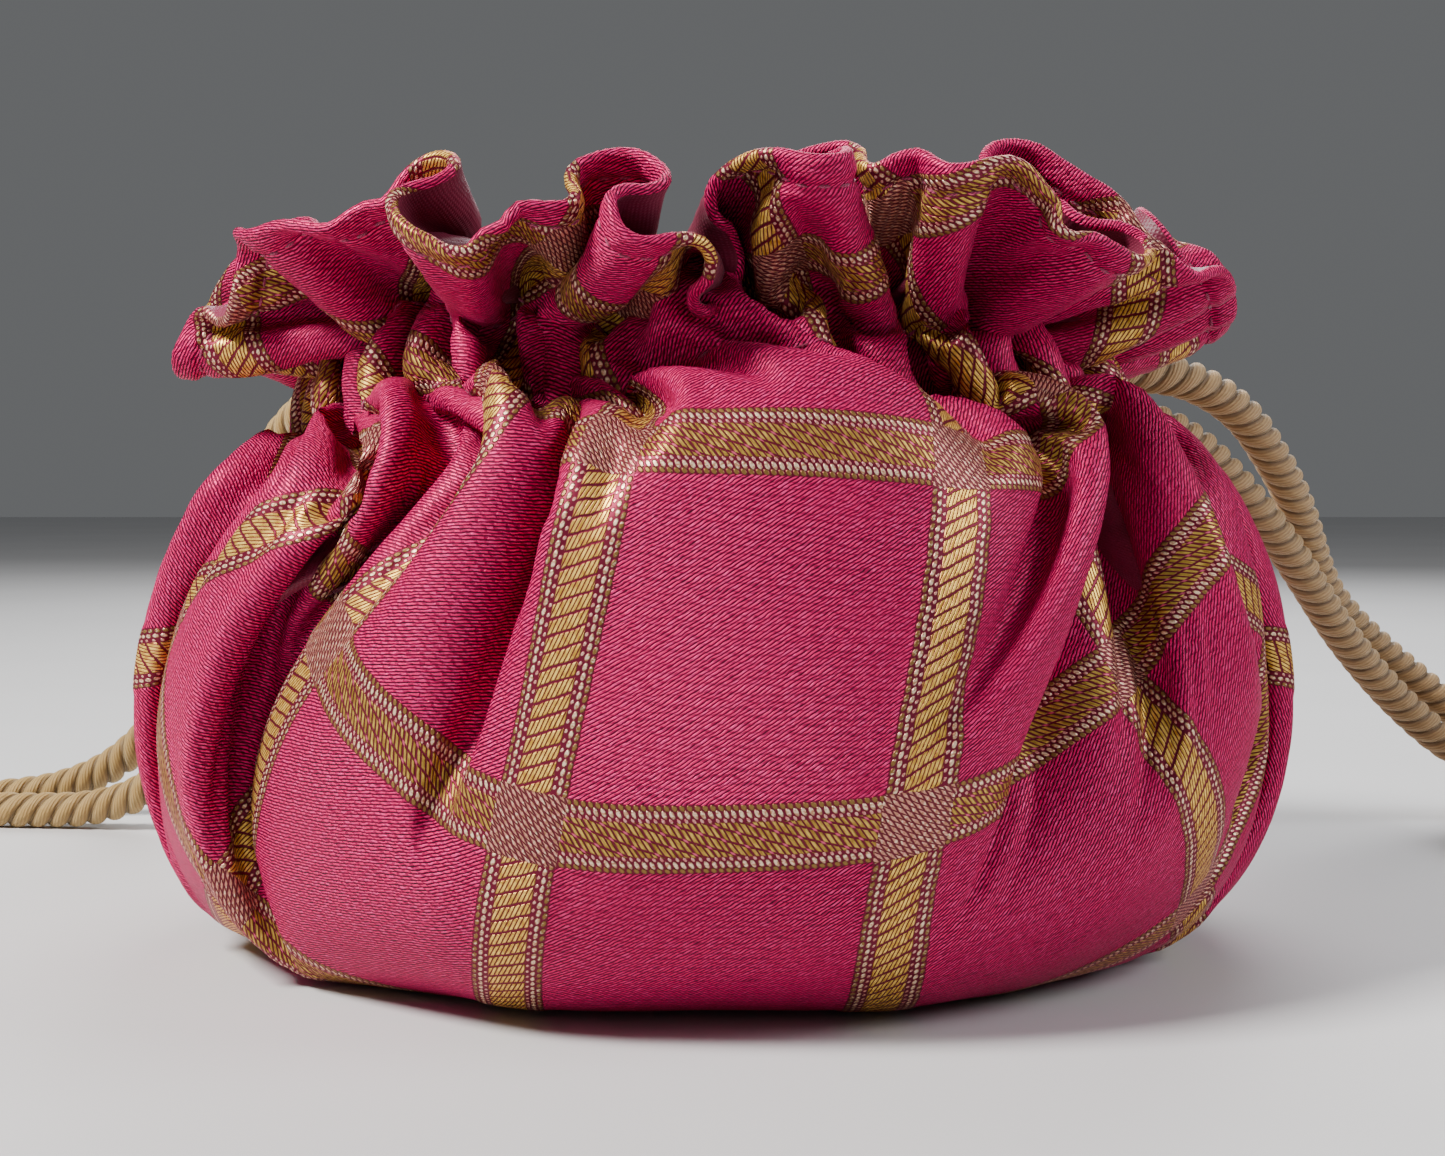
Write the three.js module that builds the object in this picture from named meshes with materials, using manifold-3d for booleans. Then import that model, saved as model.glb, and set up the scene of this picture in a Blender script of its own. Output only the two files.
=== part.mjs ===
// Drawstring dice bag: a lined circle of brocade gathered on two drawstrings.
// Millimetres, +Z up. The origin is the centre of the flat base, on the table; the front is -Y.
import * as THREE from 'three';
import { mergeVertices } from 'three/addons/utils/BufferGeometryUtils.js';
import Module from 'manifold-3d';

const wasm = await Module();
wasm.setup();

// Driving dimensions of the bag
const BASE_RADIUS = 58;
const BELLY_RADIUS = 77;
const BELLY_HEIGHT = 32;
const NECK_RADIUS = 54;
const CHANNEL_BOTTOM = 62.4;
const CHANNEL_TOP = 80.6;
const RIM_RADIUS = 72;
const RIM_HEIGHT = 104;
const MOUTH_RADIUS = 32.8;
const OUTER_THICKNESS = 1.2;
const LINING_THICKNESS = 0.8;
const GAP = 0.3;
const ROUND_SEGMENTS = 36;

// Driving dimensions of the drawstrings
const CORD_DIAMETER = 6;
const CORD_RADIUS = CORD_DIAMETER / 2;
const CORD_SIDES = 8;
const CORD_STEP = 1.8 * CORD_DIAMETER;
const LOWER_LEVEL = 68;
const UPPER_LEVEL = 75;
const RING_RADIUS = 38.2;
const STUB_START = 50.4;
const RIGHT_EXIT_ANGLE = THREE.MathUtils.degToRad(25);
const LEFT_EXIT_ANGLE = THREE.MathUtils.degToRad(140);
const EXIT_HALF_WIDTH = 3.6;
const EXIT_HALF_HEIGHT = 7.1;
const EXIT_CUT_DEPTH = 20;
const CHANNEL_CORD_STEP = 18;
const CHANNEL_CORD_FIRST = 62;
const CHANNEL_CORD_LAST = 310;

// Coils of the spare cord: two strands side by side in one turn each, flat on the table
const COIL_OUTER_TURN = 36.3;
const COIL_INNER_TURN = 30;
const COIL_CLEARANCE = 0.3;
const COIL_EDGE = 1.5;
const RIGHT_COIL = new THREE.Vector2(160, 55);
const LEFT_COIL = new THREE.Vector2(-158, 54);
const KNOT_RADIUS = 10;
const KNOT_DEPTH = 8;
const KNOT_HEIGHT = 12;
const KNOT_LEAD_OFFSET = 3.3;
const KNOT_LEAD_MARGIN = 1.2;

// Threads
const THREAD_RADIUS = 0.35;
const EXIT_THREAD_RADIUS = 0.5;
const EXIT_THREAD_MARGIN = 0.9;
const EXIT_THREAD_SEGMENTS = 20;
const THREAD_SIDES = 6;
const TOPSTITCH_FROM_RIM = 3;

const bag = new THREE.Group();

const finishes = {
  brocade: { color: 0xb02458, roughness: 0.55, metalness: 0 },
  lining: { color: 0x78193a, roughness: 0.75, metalness: 0 },
  thread: { color: 0xa82050, roughness: 0.6, metalness: 0 },
  cord: { color: 0xb8925a, roughness: 0.7, metalness: 0 },
};

function addPiece(name, geometry, finish) {
  const mesh = new THREE.Mesh(geometry, new THREE.MeshStandardMaterial(finishes[finish]));
  mesh.name = name;
  bag.add(mesh);
}

// Booleans

function toSolid(geometry) {
  const bare = geometry.clone();
  bare.deleteAttribute('normal');
  bare.deleteAttribute('uv');
  const merged = mergeVertices(bare, 1e-4);
  const vertProperties = new Float32Array(merged.attributes.position.array);
  const triVerts = new Uint32Array(merged.index.array);
  return new wasm.Manifold(new wasm.Mesh({ numProp: 3, vertProperties, triVerts }));
}

function toGeometry(solid) {
  const mesh = solid.getMesh();
  const geometry = new THREE.BufferGeometry();
  geometry.setAttribute('position', new THREE.BufferAttribute(mesh.vertProperties, 3));
  geometry.setIndex(new THREE.BufferAttribute(mesh.triVerts, 1));
  geometry.computeVertexNormals();
  return geometry;
}

// Shapes

// A LatheGeometry turns about Y, so it is stood up to turn about Z.
function lathe(profile, segments = ROUND_SEGMENTS) {
  const geometry = new THREE.LatheGeometry(profile, segments);
  geometry.rotateX(Math.PI / 2);
  return geometry;
}

function ring(majorRadius, sectionRadius, segments = ROUND_SEGMENTS) {
  const profile = [];
  for (let i = 0; i <= THREAD_SIDES; i += 1) {
    const turn = (i / THREAD_SIDES) * 2 * Math.PI;
    const r = majorRadius + sectionRadius * Math.cos(turn);
    profile.push(new THREE.Vector2(r, sectionRadius * Math.sin(turn)));
  }
  profile[THREAD_SIDES].copy(profile[0]);
  return lathe(profile, segments);
}

function circleShape(radius, sides) {
  const shape = new THREE.Shape();
  for (let i = 0; i < sides; i += 1) {
    const turn = (i / sides) * 2 * Math.PI;
    const x = radius * Math.cos(turn);
    const y = radius * Math.sin(turn);
    if (i === 0) shape.moveTo(x, y);
    else shape.lineTo(x, y);
  }
  shape.closePath();
  return shape;
}

function cordTube(points) {
  const path = new THREE.CatmullRomCurve3(points, false, 'centripetal');
  const steps = Math.max(6, Math.ceil(path.getLength() / CORD_STEP));
  const section = circleShape(CORD_RADIUS, CORD_SIDES);
  return new THREE.ExtrudeGeometry(section, { steps, extrudePath: path });
}

function alongExit(angle, radius, height) {
  return new THREE.Vector3(radius * Math.cos(angle), radius * Math.sin(angle), height);
}

// The surface that a sheet follows from the base's edge to the rim, as (radius, height)

function smooth(points, count) {
  const curve = new THREE.SplineCurve(points.map(([r, z]) => new THREE.Vector2(r, z)));
  return curve.getPoints(count);
}

// Moves a profile inwards, square to itself, so that two sheets keep one gap all along.
function inset(profile, distance) {
  return profile.map((point, i) => {
    const before = profile[Math.max(i - 1, 0)];
    const after = profile[Math.min(i + 1, profile.length - 1)];
    const along = after.clone().sub(before).normalize();
    return new THREE.Vector2(point.x - along.y * distance, point.y + along.x * distance);
  });
}

const bodySide = smooth([
  [BASE_RADIUS, 0],
  [68.5, 4.5],
  [74.4, 14],
  [BELLY_RADIUS, BELLY_HEIGHT],
  [74.8, 48],
  [68.5, 56.4],
  [57.5, 60.9],
], 12);

const ruffleFoot = new THREE.Vector2(NECK_RADIUS + 1.6, CHANNEL_TOP + 2.2);
const ruffleSide = smooth([
  ruffleFoot.toArray(),
  [61, 88],
  [67.5, 95.5],
  [RIM_RADIUS, RIM_HEIGHT],
], 5);

const outerFace = [
  ...bodySide,
  new THREE.Vector2(NECK_RADIUS, CHANNEL_BOTTOM - 0.6),
  new THREE.Vector2(NECK_RADIUS, CHANNEL_TOP + 0.6),
  ...ruffleSide,
];

// The lining leaves the outer cloth below the channel, passes inside the cords, and joins it above.
const liningInset = OUTER_THICKNESS + GAP;
const liningBody = inset(bodySide, liningInset).slice(0, -1);
const liningRuffle = inset(ruffleSide, liningInset);
const liningFunnel = smooth([
  [50, 60.4],
  [41, 61.8],
  [34.8, 65.2],
  [MOUTH_RADIUS + LINING_THICKNESS, 71.5],
  [34.8, 77.8],
  [41, 81.2],
  [50, 82.6],
], 8);
const liningFace = [...liningBody, ...liningFunnel, ...liningRuffle.slice(1)];

function clothShell(face, thickness, floorHeight) {
  const inner = inset(face, thickness).reverse();
  const floor = new THREE.Vector2(0, floorHeight);
  const ceiling = new THREE.Vector2(0, floorHeight + thickness);
  face[0].y = floorHeight;
  inner[inner.length - 1].y = floorHeight + thickness;
  return lathe([floor, ...face, ...inner, ceiling].map((p) => p.clone()));
}

// Outer cloth, with a worked hole at each exit

function exitHole(angle) {
  const shape = new THREE.Shape();
  const straight = EXIT_HALF_HEIGHT - EXIT_HALF_WIDTH;
  shape.absarc(0, straight, EXIT_HALF_WIDTH, 0, Math.PI, false);
  shape.absarc(0, -straight, EXIT_HALF_WIDTH, Math.PI, 2 * Math.PI, false);
  shape.closePath();
  const geometry = new THREE.ExtrudeGeometry(shape, {
    depth: EXIT_CUT_DEPTH,
    bevelEnabled: false,
    curveSegments: CORD_SIDES,
  });
  geometry.translate(0, 0, NECK_RADIUS - EXIT_CUT_DEPTH / 2);
  geometry.rotateY(Math.PI / 2);
  geometry.rotateX(Math.PI / 2);
  geometry.rotateZ(angle);
  geometry.translate(0, 0, (LOWER_LEVEL + UPPER_LEVEL) / 2);
  return geometry;
}

function makeOuterCloth() {
  const shell = toSolid(clothShell(outerFace, OUTER_THICKNESS, 0));
  const right = toSolid(exitHole(RIGHT_EXIT_ANGLE));
  const left = toSolid(exitHole(LEFT_EXIT_ANGLE));
  return toGeometry(shell.subtract(right).subtract(left));
}

function makeExitStitching(angle) {
  const halfWidth = EXIT_HALF_WIDTH + EXIT_THREAD_MARGIN;
  const halfHeight = EXIT_HALF_HEIGHT + EXIT_THREAD_MARGIN;
  const halfSpan = (halfWidth + halfHeight) / 2;
  const geometry = ring(1, EXIT_THREAD_RADIUS / halfSpan, EXIT_THREAD_SEGMENTS);
  geometry.scale(halfWidth, halfHeight, halfSpan);
  geometry.rotateY(Math.PI / 2);
  geometry.rotateX(Math.PI / 2);
  geometry.rotateZ(angle);
  const centre = alongExit(angle, NECK_RADIUS + GAP + EXIT_THREAD_RADIUS, 0);
  geometry.translate(centre.x, centre.y, (LOWER_LEVEL + UPPER_LEVEL) / 2);
  return geometry;
}

function makeStitchRing(radius, height) {
  const geometry = ring(radius + GAP + THREAD_RADIUS, THREAD_RADIUS);
  geometry.translate(0, 0, height);
  return geometry;
}

function makeTopstitch() {
  const belowRim = ruffleSide.at(-2);
  const slope = (RIM_RADIUS - belowRim.x) / (RIM_HEIGHT - belowRim.y);
  const radius = RIM_RADIUS - slope * TOPSTITCH_FROM_RIM;
  return makeStitchRing(radius, RIM_HEIGHT - TOPSTITCH_FROM_RIM);
}

addPiece('outer_cloth', makeOuterCloth(), 'brocade');
addPiece('lining_cloth', clothShell(liningFace, LINING_THICKNESS, liningInset), 'lining');
addPiece('rim_topstitch', makeTopstitch(), 'thread');
addPiece('channel_stitch_lower', makeStitchRing(NECK_RADIUS, CHANNEL_BOTTOM), 'thread');
addPiece('channel_stitch_upper', makeStitchRing(NECK_RADIUS, CHANNEL_TOP), 'thread');
addPiece('right_exit_stitching', makeExitStitching(RIGHT_EXIT_ANGLE), 'thread');
addPiece('left_exit_stitching', makeExitStitching(LEFT_EXIT_ANGLE), 'thread');

// Each drawstring inside the channel: once round at its own level, with both ends at its exit.
// turnIn gives how an end swings from the ring to its exit, as degrees before it and radius.
const turnIn = [
  [44, RING_RADIUS],
  [30, 41.2],
  [20, 44.3],
  [12, 44.8],
  [6.5, 45],
  [2.5, 45.9],
  [0.4, 47.5],
  [0, 48.9],
];

function makeCordInChannel(exitAngle, ringLevel, otherLevel) {
  const polar = (degrees, radius, height) => {
    const angle = exitAngle + THREE.MathUtils.degToRad(degrees);
    return alongExit(angle, radius, height);
  };
  const endRadius = STUB_START - GAP;
  const points = [polar(0, endRadius, ringLevel)];
  turnIn.toReversed().forEach(([degrees, radius]) => points.push(polar(degrees, radius, ringLevel)));
  for (let degrees = CHANNEL_CORD_FIRST; degrees < CHANNEL_CORD_LAST; degrees += CHANNEL_CORD_STEP) {
    points.push(polar(degrees, RING_RADIUS, ringLevel));
  }
  turnIn.forEach(([degrees, radius]) => {
    const rise = THREE.MathUtils.smoothstep(30 - degrees, 0, 26);
    points.push(polar(360 - degrees, radius, THREE.MathUtils.lerp(ringLevel, otherLevel, rise)));
  });
  points.push(polar(360, endRadius, otherLevel));
  return cordTube(points);
}

addPiece(
  'right_cord_in_channel',
  makeCordInChannel(RIGHT_EXIT_ANGLE, LOWER_LEVEL, UPPER_LEVEL),
  'cord',
);
addPiece(
  'left_cord_in_channel',
  makeCordInChannel(LEFT_EXIT_ANGLE, UPPER_LEVEL, LOWER_LEVEL),
  'cord',
);

// The free strands, from inside the channel to the coil. Each list goes on from the straight exit.
const rightUpperRoute = [
  [66.5, 31.3, 74.6],
  [74, 36.3, 72.5],
  [80.5, 41.8, 68.6],
  [86, 48, 63],
  [91, 55, 57],
  [95, 62, 51],
  [98.5, 69, 45.5],
  [102.5, 75, 40],
  [108, 80, 34.7],
  [114.5, 84.5, 29.5],
  [121.5, 88.3, 24.3],
  [128.5, 91, 19],
  [135.5, 92.6, 14.6],
  [142.5, 93.2, 11],
];
const rightLowerRoute = [
  [64.3, 29.6, 67.4],
  [72, 35.4, 64],
  [78.5, 40.5, 58.8],
  [84.5, 46, 53.2],
  [90, 52, 47.8],
  [95, 58, 42.2],
  [100, 64.2, 36.6],
  [105.3, 70.2, 31.2],
  [111, 75.8, 25.8],
  [117.2, 80.6, 20.4],
  [123.8, 84.2, 15.2],
  [130.5, 86.5, 11],
];
const leftUpperRoute = [
  [-56, 47, 74],
  [-63, 53.5, 71],
  [-69.7, 60.3, 65.3],
  [-75.4, 66.8, 57.3],
  [-80.3, 73, 47.6],
  [-85, 79, 37],
  [-90.2, 84.5, 26.4],
  [-96.8, 88.8, 16.8],
  [-105, 91.2, 9.4],
  [-114.4, 92.2, 5.2],
  [-124.4, 92.6, 3.5],
  [-132.4, 92.8, 3.1],
  [-139.5, 92.9, 3],
];
const leftLowerRoute = [
  [-55.5, 46.5, 66.6],
  [-62, 52, 62.4],
  [-68.2, 57.4, 55.2],
  [-73.6, 62.3, 45.6],
  [-78.3, 66.6, 34.6],
  [-83, 70.4, 23.6],
  [-88.8, 73.8, 13.8],
  [-96.2, 76.4, 6.8],
  [-105, 78.3, 3.7],
  [-114, 79.6, 3],
  [-121.8, 80.6, 3],
];

function makeStrand(exitAngle, level, route) {
  const straight = [STUB_START, 54, 59].map((radius) => alongExit(exitAngle, radius, level));
  return cordTube([...straight, ...route.map(([x, y, z]) => new THREE.Vector3(x, y, z))]);
}

addPiece('right_strand_upper', makeStrand(RIGHT_EXIT_ANGLE, UPPER_LEVEL, rightUpperRoute), 'cord');
addPiece('right_strand_lower', makeStrand(RIGHT_EXIT_ANGLE, LOWER_LEVEL, rightLowerRoute), 'cord');
addPiece('left_strand_upper', makeStrand(LEFT_EXIT_ANGLE, UPPER_LEVEL, leftUpperRoute), 'cord');
addPiece('left_strand_lower', makeStrand(LEFT_EXIT_ANGLE, LOWER_LEVEL, leftLowerRoute), 'cord');

function makeCoil(centre) {
  const inside = COIL_INNER_TURN - CORD_RADIUS - COIL_CLEARANCE;
  const outside = COIL_OUTER_TURN + CORD_RADIUS + COIL_CLEARANCE;
  const edge = COIL_EDGE;
  const profile = [
    [inside + edge, 0],
    [outside - edge, 0],
    [outside, edge],
    [outside, CORD_DIAMETER - edge],
    [outside - edge, CORD_DIAMETER],
    [inside + edge, CORD_DIAMETER],
    [inside, CORD_DIAMETER - edge],
    [inside, edge],
    [inside + edge, 0],
  ].map(([r, z]) => new THREE.Vector2(r, z));
  const geometry = lathe(profile);
  geometry.translate(centre.x, centre.y, 0);
  return geometry;
}

// The overhand knot of both strands, in the middle of the coil, with the strands that lead to it.
function makeKnot(centre, side) {
  const reach = COIL_INNER_TURN - CORD_RADIUS - COIL_CLEARANCE - GAP;
  const body = new THREE.SphereGeometry(1, 14, 8);
  body.scale(KNOT_RADIUS, KNOT_DEPTH, KNOT_HEIGHT / 2);
  body.translate(0, 0, KNOT_HEIGHT / 2);
  const leads = [-KNOT_LEAD_OFFSET, KNOT_LEAD_OFFSET].map((row) => cordTube([
    new THREE.Vector3(0, row, KNOT_HEIGHT / 2),
    new THREE.Vector3(side * reach / 2, row, CORD_RADIUS + 0.8),
    new THREE.Vector3(side * (reach - KNOT_LEAD_MARGIN), row, CORD_RADIUS + 0.02),
  ]));
  const solid = leads.reduce((sum, lead) => sum.add(toSolid(lead)), toSolid(body));
  const geometry = toGeometry(solid);
  geometry.translate(centre.x, centre.y, 0);
  return geometry;
}

addPiece('right_cord_coil', makeCoil(RIGHT_COIL), 'cord');
addPiece('left_cord_coil', makeCoil(LEFT_COIL), 'cord');
addPiece('right_cord_knot', makeKnot(RIGHT_COIL, 1), 'cord');
addPiece('left_cord_knot', makeKnot(LEFT_COIL, -1), 'cord');

export default bag;
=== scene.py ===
"""Looks of a drawstring dice bag: gathered brocade over a lining, on two twisted drawstrings.

The cloth is worked out in millimetres as a flat circle that is gathered into pleats and then relaxed,
so every point keeps its place on the flat circle in the attribute "flat", which the woven pattern follows.
"""
import math

import bmesh
import bpy
import numpy as np
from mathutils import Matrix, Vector


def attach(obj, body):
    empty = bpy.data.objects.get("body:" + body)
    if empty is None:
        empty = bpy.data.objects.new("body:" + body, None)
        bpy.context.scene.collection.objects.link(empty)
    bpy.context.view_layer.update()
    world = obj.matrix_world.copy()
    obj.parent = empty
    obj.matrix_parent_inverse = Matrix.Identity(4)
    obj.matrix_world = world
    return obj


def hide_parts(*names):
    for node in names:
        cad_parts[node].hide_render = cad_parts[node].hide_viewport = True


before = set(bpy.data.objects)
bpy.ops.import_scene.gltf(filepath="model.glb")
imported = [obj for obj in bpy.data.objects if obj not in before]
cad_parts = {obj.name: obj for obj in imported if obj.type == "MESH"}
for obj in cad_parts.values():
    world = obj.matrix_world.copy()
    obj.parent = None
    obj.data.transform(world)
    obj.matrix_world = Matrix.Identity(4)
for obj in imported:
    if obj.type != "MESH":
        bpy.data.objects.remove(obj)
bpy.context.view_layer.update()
MM = 0.001
TAU = 2 * math.pi

# ---------------------------------------------------------------- camera and stage

CAMERA_PLACE = (0.0013, -0.3, 0.061)
CAMERA_DOWN = 2.8
CAMERA_LENS = 56
CAMERA_SENSOR = 36
LOOK_AT = Vector((0, 0, 0.05))


def add_object(name, data):
    piece = bpy.data.objects.new(name, data)
    bpy.context.scene.collection.objects.link(piece)
    return piece


def make_camera():
    data = bpy.data.cameras.new("camera")
    data.lens = CAMERA_LENS
    data.sensor_width = CAMERA_SENSOR
    data.clip_start = 0.01
    camera = add_object("camera", data)
    camera.location = CAMERA_PLACE
    camera.rotation_euler = (math.radians(90 - CAMERA_DOWN), 0, 0)
    bpy.context.scene.camera = camera


def area_light(name, place, power, size, tint):
    data = bpy.data.lights.new(name, "AREA")
    data.energy = power
    data.size = size
    data.color = tint
    light = add_object(name, data)
    light.location = place
    light.rotation_mode = "QUATERNION"
    light.rotation_quaternion = (LOOK_AT - Vector(place)).to_track_quat("-Z", "Y")


def make_lights():
    area_light("key", (-0.46, -0.26, 0.6), 13.5, 0.2, (1.0, 0.97, 0.93))
    area_light("window", (0.65, -0.1, 0.4), 3.4, 0.35, (0.95, 0.97, 1.0))
    area_light("back", (0.1, 0.65, 0.6), 7.0, 0.6, (1.0, 1.0, 1.0))
    world = bpy.data.worlds.new("studio")
    world.use_nodes = True
    background = world.node_tree.nodes["Background"]
    background.inputs["Color"].default_value = (0.66, 0.68, 0.7, 1)
    background.inputs["Strength"].default_value = 0.2
    bpy.context.scene.world = world


make_camera()
make_lights()

# ---------------------------------------------------------------- material nodes


class Weave:
    """Builds one material's nodes with short calls; numbers and sockets can be mixed."""

    def __init__(self, name):
        self.material = bpy.data.materials.new(name)
        self.material.use_nodes = True
        self.nodes = self.material.node_tree.nodes
        self.links = self.material.node_tree.links
        self.shader = self.nodes["Principled BSDF"]

    def put(self, socket, value):
        if isinstance(value, bpy.types.NodeSocket):
            self.links.new(value, socket)
        elif isinstance(value, tuple) and len(value) == 3 and socket.type == "RGBA":
            socket.default_value = (*value, 1)
        else:
            socket.default_value = value

    def node(self, kind, output, **inputs):
        made = self.nodes.new(kind)
        for key, value in inputs.items():
            self.put(made.inputs[key.replace("_", " ")], value)
        return made.outputs[output]

    def math(self, operation, *values):
        made = self.nodes.new("ShaderNodeMath")
        made.operation = operation
        for socket, value in zip(made.inputs, values):
            self.put(socket, value)
        return made.outputs[0]

    def add(self, *values):
        total = values[0]
        for value in values[1:]:
            total = self.math("ADD", total, value)
        return total

    def mul(self, *values):
        total = values[0]
        for value in values[1:]:
            total = self.math("MULTIPLY", total, value)
        return total

    def sub(self, a, b):
        return self.math("SUBTRACT", a, b)

    def most(self, a, b):
        return self.math("MAXIMUM", a, b)

    def ramp(self, value, low, high):
        """0 below low, 1 above high and smooth between; high may be the lower one."""
        made = self.nodes.new("ShaderNodeMapRange")
        made.interpolation_type = "SMOOTHSTEP"
        self.put(made.inputs["Value"], value)
        self.put(made.inputs["From Min"], min(low, high))
        self.put(made.inputs["From Max"], max(low, high))
        self.put(made.inputs["To Min"], 0.0 if low < high else 1.0)
        self.put(made.inputs["To Max"], 1.0 if low < high else 0.0)
        return made.outputs["Result"]

    def mix(self, factor, a, b):
        made = self.nodes.new("ShaderNodeMix")
        made.data_type = "RGBA"
        self.put(made.inputs[0], factor)
        self.put(made.inputs[6], a)
        self.put(made.inputs[7], b)
        return made.outputs[2]

    def attribute(self, name):
        made = self.nodes.new("ShaderNodeAttribute")
        made.attribute_name = name
        parts = self.nodes.new("ShaderNodeSeparateXYZ")
        self.links.new(made.outputs["Vector"], parts.inputs[0])
        return made.outputs["Vector"], parts.outputs[0], parts.outputs[1], parts.outputs[2]

    def noise(self, vector, scale, detail=2.0):
        return self.node("ShaderNodeTexNoise", "Fac", Vector=vector, Scale=scale, Detail=detail)

    def vector(self, x, y, z=0.0):
        return self.node("ShaderNodeCombineXYZ", 0, X=x, Y=y, Z=z)

    def wave(self, value):
        """A smooth hill of height 1 for each whole step of value."""
        return self.add(self.mul(self.math("COSINE", self.mul(value, TAU)), -0.5), 0.5)

    def bump(self, height, distance, strength=1.0):
        return self.node("ShaderNodeBump", 0, Height=height, Distance=distance, Strength=strength)

    def finish(self, color, roughness, normal=None, sheen=0.0, sheen_roughness=0.4, sheen_tint=(1, 1, 1)):
        self.put(self.shader.inputs["Base Color"], color)
        self.put(self.shader.inputs["Roughness"], roughness)
        if normal is not None:
            self.put(self.shader.inputs["Normal"], normal)
        self.shader.inputs["Sheen Weight"].default_value = sheen
        self.shader.inputs["Sheen Roughness"].default_value = sheen_roughness
        self.shader.inputs["Sheen Tint"].default_value = (*sheen_tint, 1)
        return self.material


def floor_material():
    w = Weave("floor")
    cloudy = w.noise(w.node("ShaderNodeTexCoord", "Object"), 9.0, 4.0)
    return w.finish(w.mix(cloudy, (0.56, 0.56, 0.57), (0.64, 0.64, 0.65)), 0.6)


# ---------------------------------------------------------------- mesh helpers


def mesh_object(name, points, faces, material, attributes):
    """A mesh in metres from points in millimetres."""
    mesh = bpy.data.meshes.new(name)
    mesh.from_pydata((np.asarray(points) * MM).tolist(), [], faces)
    for key, values in attributes.items():
        layer = mesh.attributes.new(key, "FLOAT_VECTOR", "POINT")
        layer.data.foreach_set("vector", np.asarray(values, np.float32).ravel())
    mesh.materials.append(material)
    mesh.polygons.foreach_set("use_smooth", [True] * len(mesh.polygons))
    mesh.update()
    return add_object(name, mesh)


def grid_faces(rows, columns):
    """Quads of a grid whose columns go round."""
    faces = []
    for j in range(rows - 1):
        a = j * columns
        b = a + columns
        for i in range(columns):
            k = (i + 1) % columns
            faces.append((a + i, a + k, b + k, b + i))
    return faces


def tube_faces(rows, columns):
    """Quads of a tube, with one flat face at each end."""
    faces = grid_faces(rows, columns)
    faces.append(tuple(range(columns - 1, -1, -1)))
    faces.append(tuple(range((rows - 1) * columns, rows * columns)))
    return faces


def catmull_rom(points, count):
    """A smooth curve through points, with count steps in each span."""
    p = np.asarray(points, float)
    p = np.vstack([2 * p[0] - p[1], p, 2 * p[-1] - p[-2]])
    t = np.linspace(0, 1, count, endpoint=False)[:, None]
    spans = []
    for a, b, c, d in zip(p[:-3], p[1:-2], p[2:-1], p[3:]):
        spans.append(0.5 * (2 * b + (c - a) * t + (2 * a - 5 * b + 4 * c - d) * t**2
                            + (3 * b - a - 3 * c + d) * t**3))
    return np.vstack([*spans, p[-2]])


def run_length(line):
    """How far along the line each of its points lies."""
    return np.r_[0, np.cumsum(np.linalg.norm(np.diff(line, axis=0), axis=1))]


def evenly(points, step):
    """The same line with its points a step apart."""
    p = np.asarray(points, float)
    length = run_length(p)
    at = np.linspace(0, length[-1], max(2, int(round(length[-1] / step)) + 1))
    return np.stack([np.interp(at, length, p[:, k]) for k in range(3)], 1)


def carried_frames(line):
    """Two directions square to the line at each point, carried along it without twist."""
    along = np.gradient(line, axis=0)
    along /= np.linalg.norm(along, axis=1, keepdims=True)
    side = np.cross(along[0], (0.0, 0.0, 1.0))
    if np.linalg.norm(side) < 0.1:
        side = np.cross(along[0], (0.0, 1.0, 0.0))
    sides = []
    for direction in along:
        side = side - direction * np.dot(side, direction)
        side = side / np.linalg.norm(side)
        sides.append(side)
    sides = np.array(sides)
    return sides, np.cross(along, sides)


# ---------------------------------------------------------------- twisted cord

CORD_DIAMETER = 6.0
CORD_LAY = 10.4
CORD_LOBES = 3
LOBE_POINTS = 12
LOBE_RADIUS = 1.28
LOBE_CENTRE = CORD_DIAMETER / 2 - LOBE_RADIUS
LOBE_SPAN = 0.975
CORD_STEP = 0.6


def lobed_section(scale=1.0):
    """Angle, radius and place across its strand of each point round a twisted cord's section."""
    half = math.pi / CORD_LOBES
    angles, radii, across = [], [], []
    for lobe in range(CORD_LOBES):
        for k in range(LOBE_POINTS):
            u = -1 + 2 * (k + 0.5) / LOBE_POINTS
            rise = math.sqrt(1 - (LOBE_SPAN * u) ** 2)
            angles.append((2 * lobe + 1 + u) * half)
            radii.append((LOBE_CENTRE + LOBE_RADIUS * rise) * scale)
            across.append(u)
    return np.array(angles), np.array(radii), np.array(across)


def twisted_tube(line, phase=0.0, scale=1.0, taper=0.0):
    """Points, faces and yarn coordinates of a twisted cord along a line.

    The ends are rounded over the length taper, or cut square without one.
    """
    sides, ups = carried_frames(line)
    angles, radii, across = lobed_section(scale)
    along = run_length(line)
    turn = angles[None, :] - TAU * along[:, None] / (CORD_LAY * scale) + phase
    fade = np.ones(len(line))
    if taper:
        end = np.minimum(along, along[-1] - along)
        fade = np.sqrt(np.clip(1 - (1 - np.clip(end / taper, 0, 1)) ** 2, 0.02, 1))
    radius = radii[None, :] * fade[:, None]
    ray = np.cos(turn)[..., None] * sides[:, None, :] + np.sin(turn)[..., None] * ups[:, None, :]
    points = line[:, None, :] + radius[..., None] * ray
    places = (np.broadcast_to(across, turn.shape), np.broadcast_to(along[:, None], turn.shape), turn)
    yarn = np.stack(places, -1)
    return points.reshape(-1, 3), tube_faces(*turn.shape), yarn.reshape(-1, 3)


def join_parts(parts):
    """One list of points, faces and coordinates from several."""
    points, faces, extra, first = [], [], [], 0
    for p, f, e in parts:
        points.append(p)
        faces.extend(tuple(first + i for i in face) for face in f)
        extra.append(e)
        first += len(p)
    return np.vstack(points), faces, np.vstack(extra)


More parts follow.
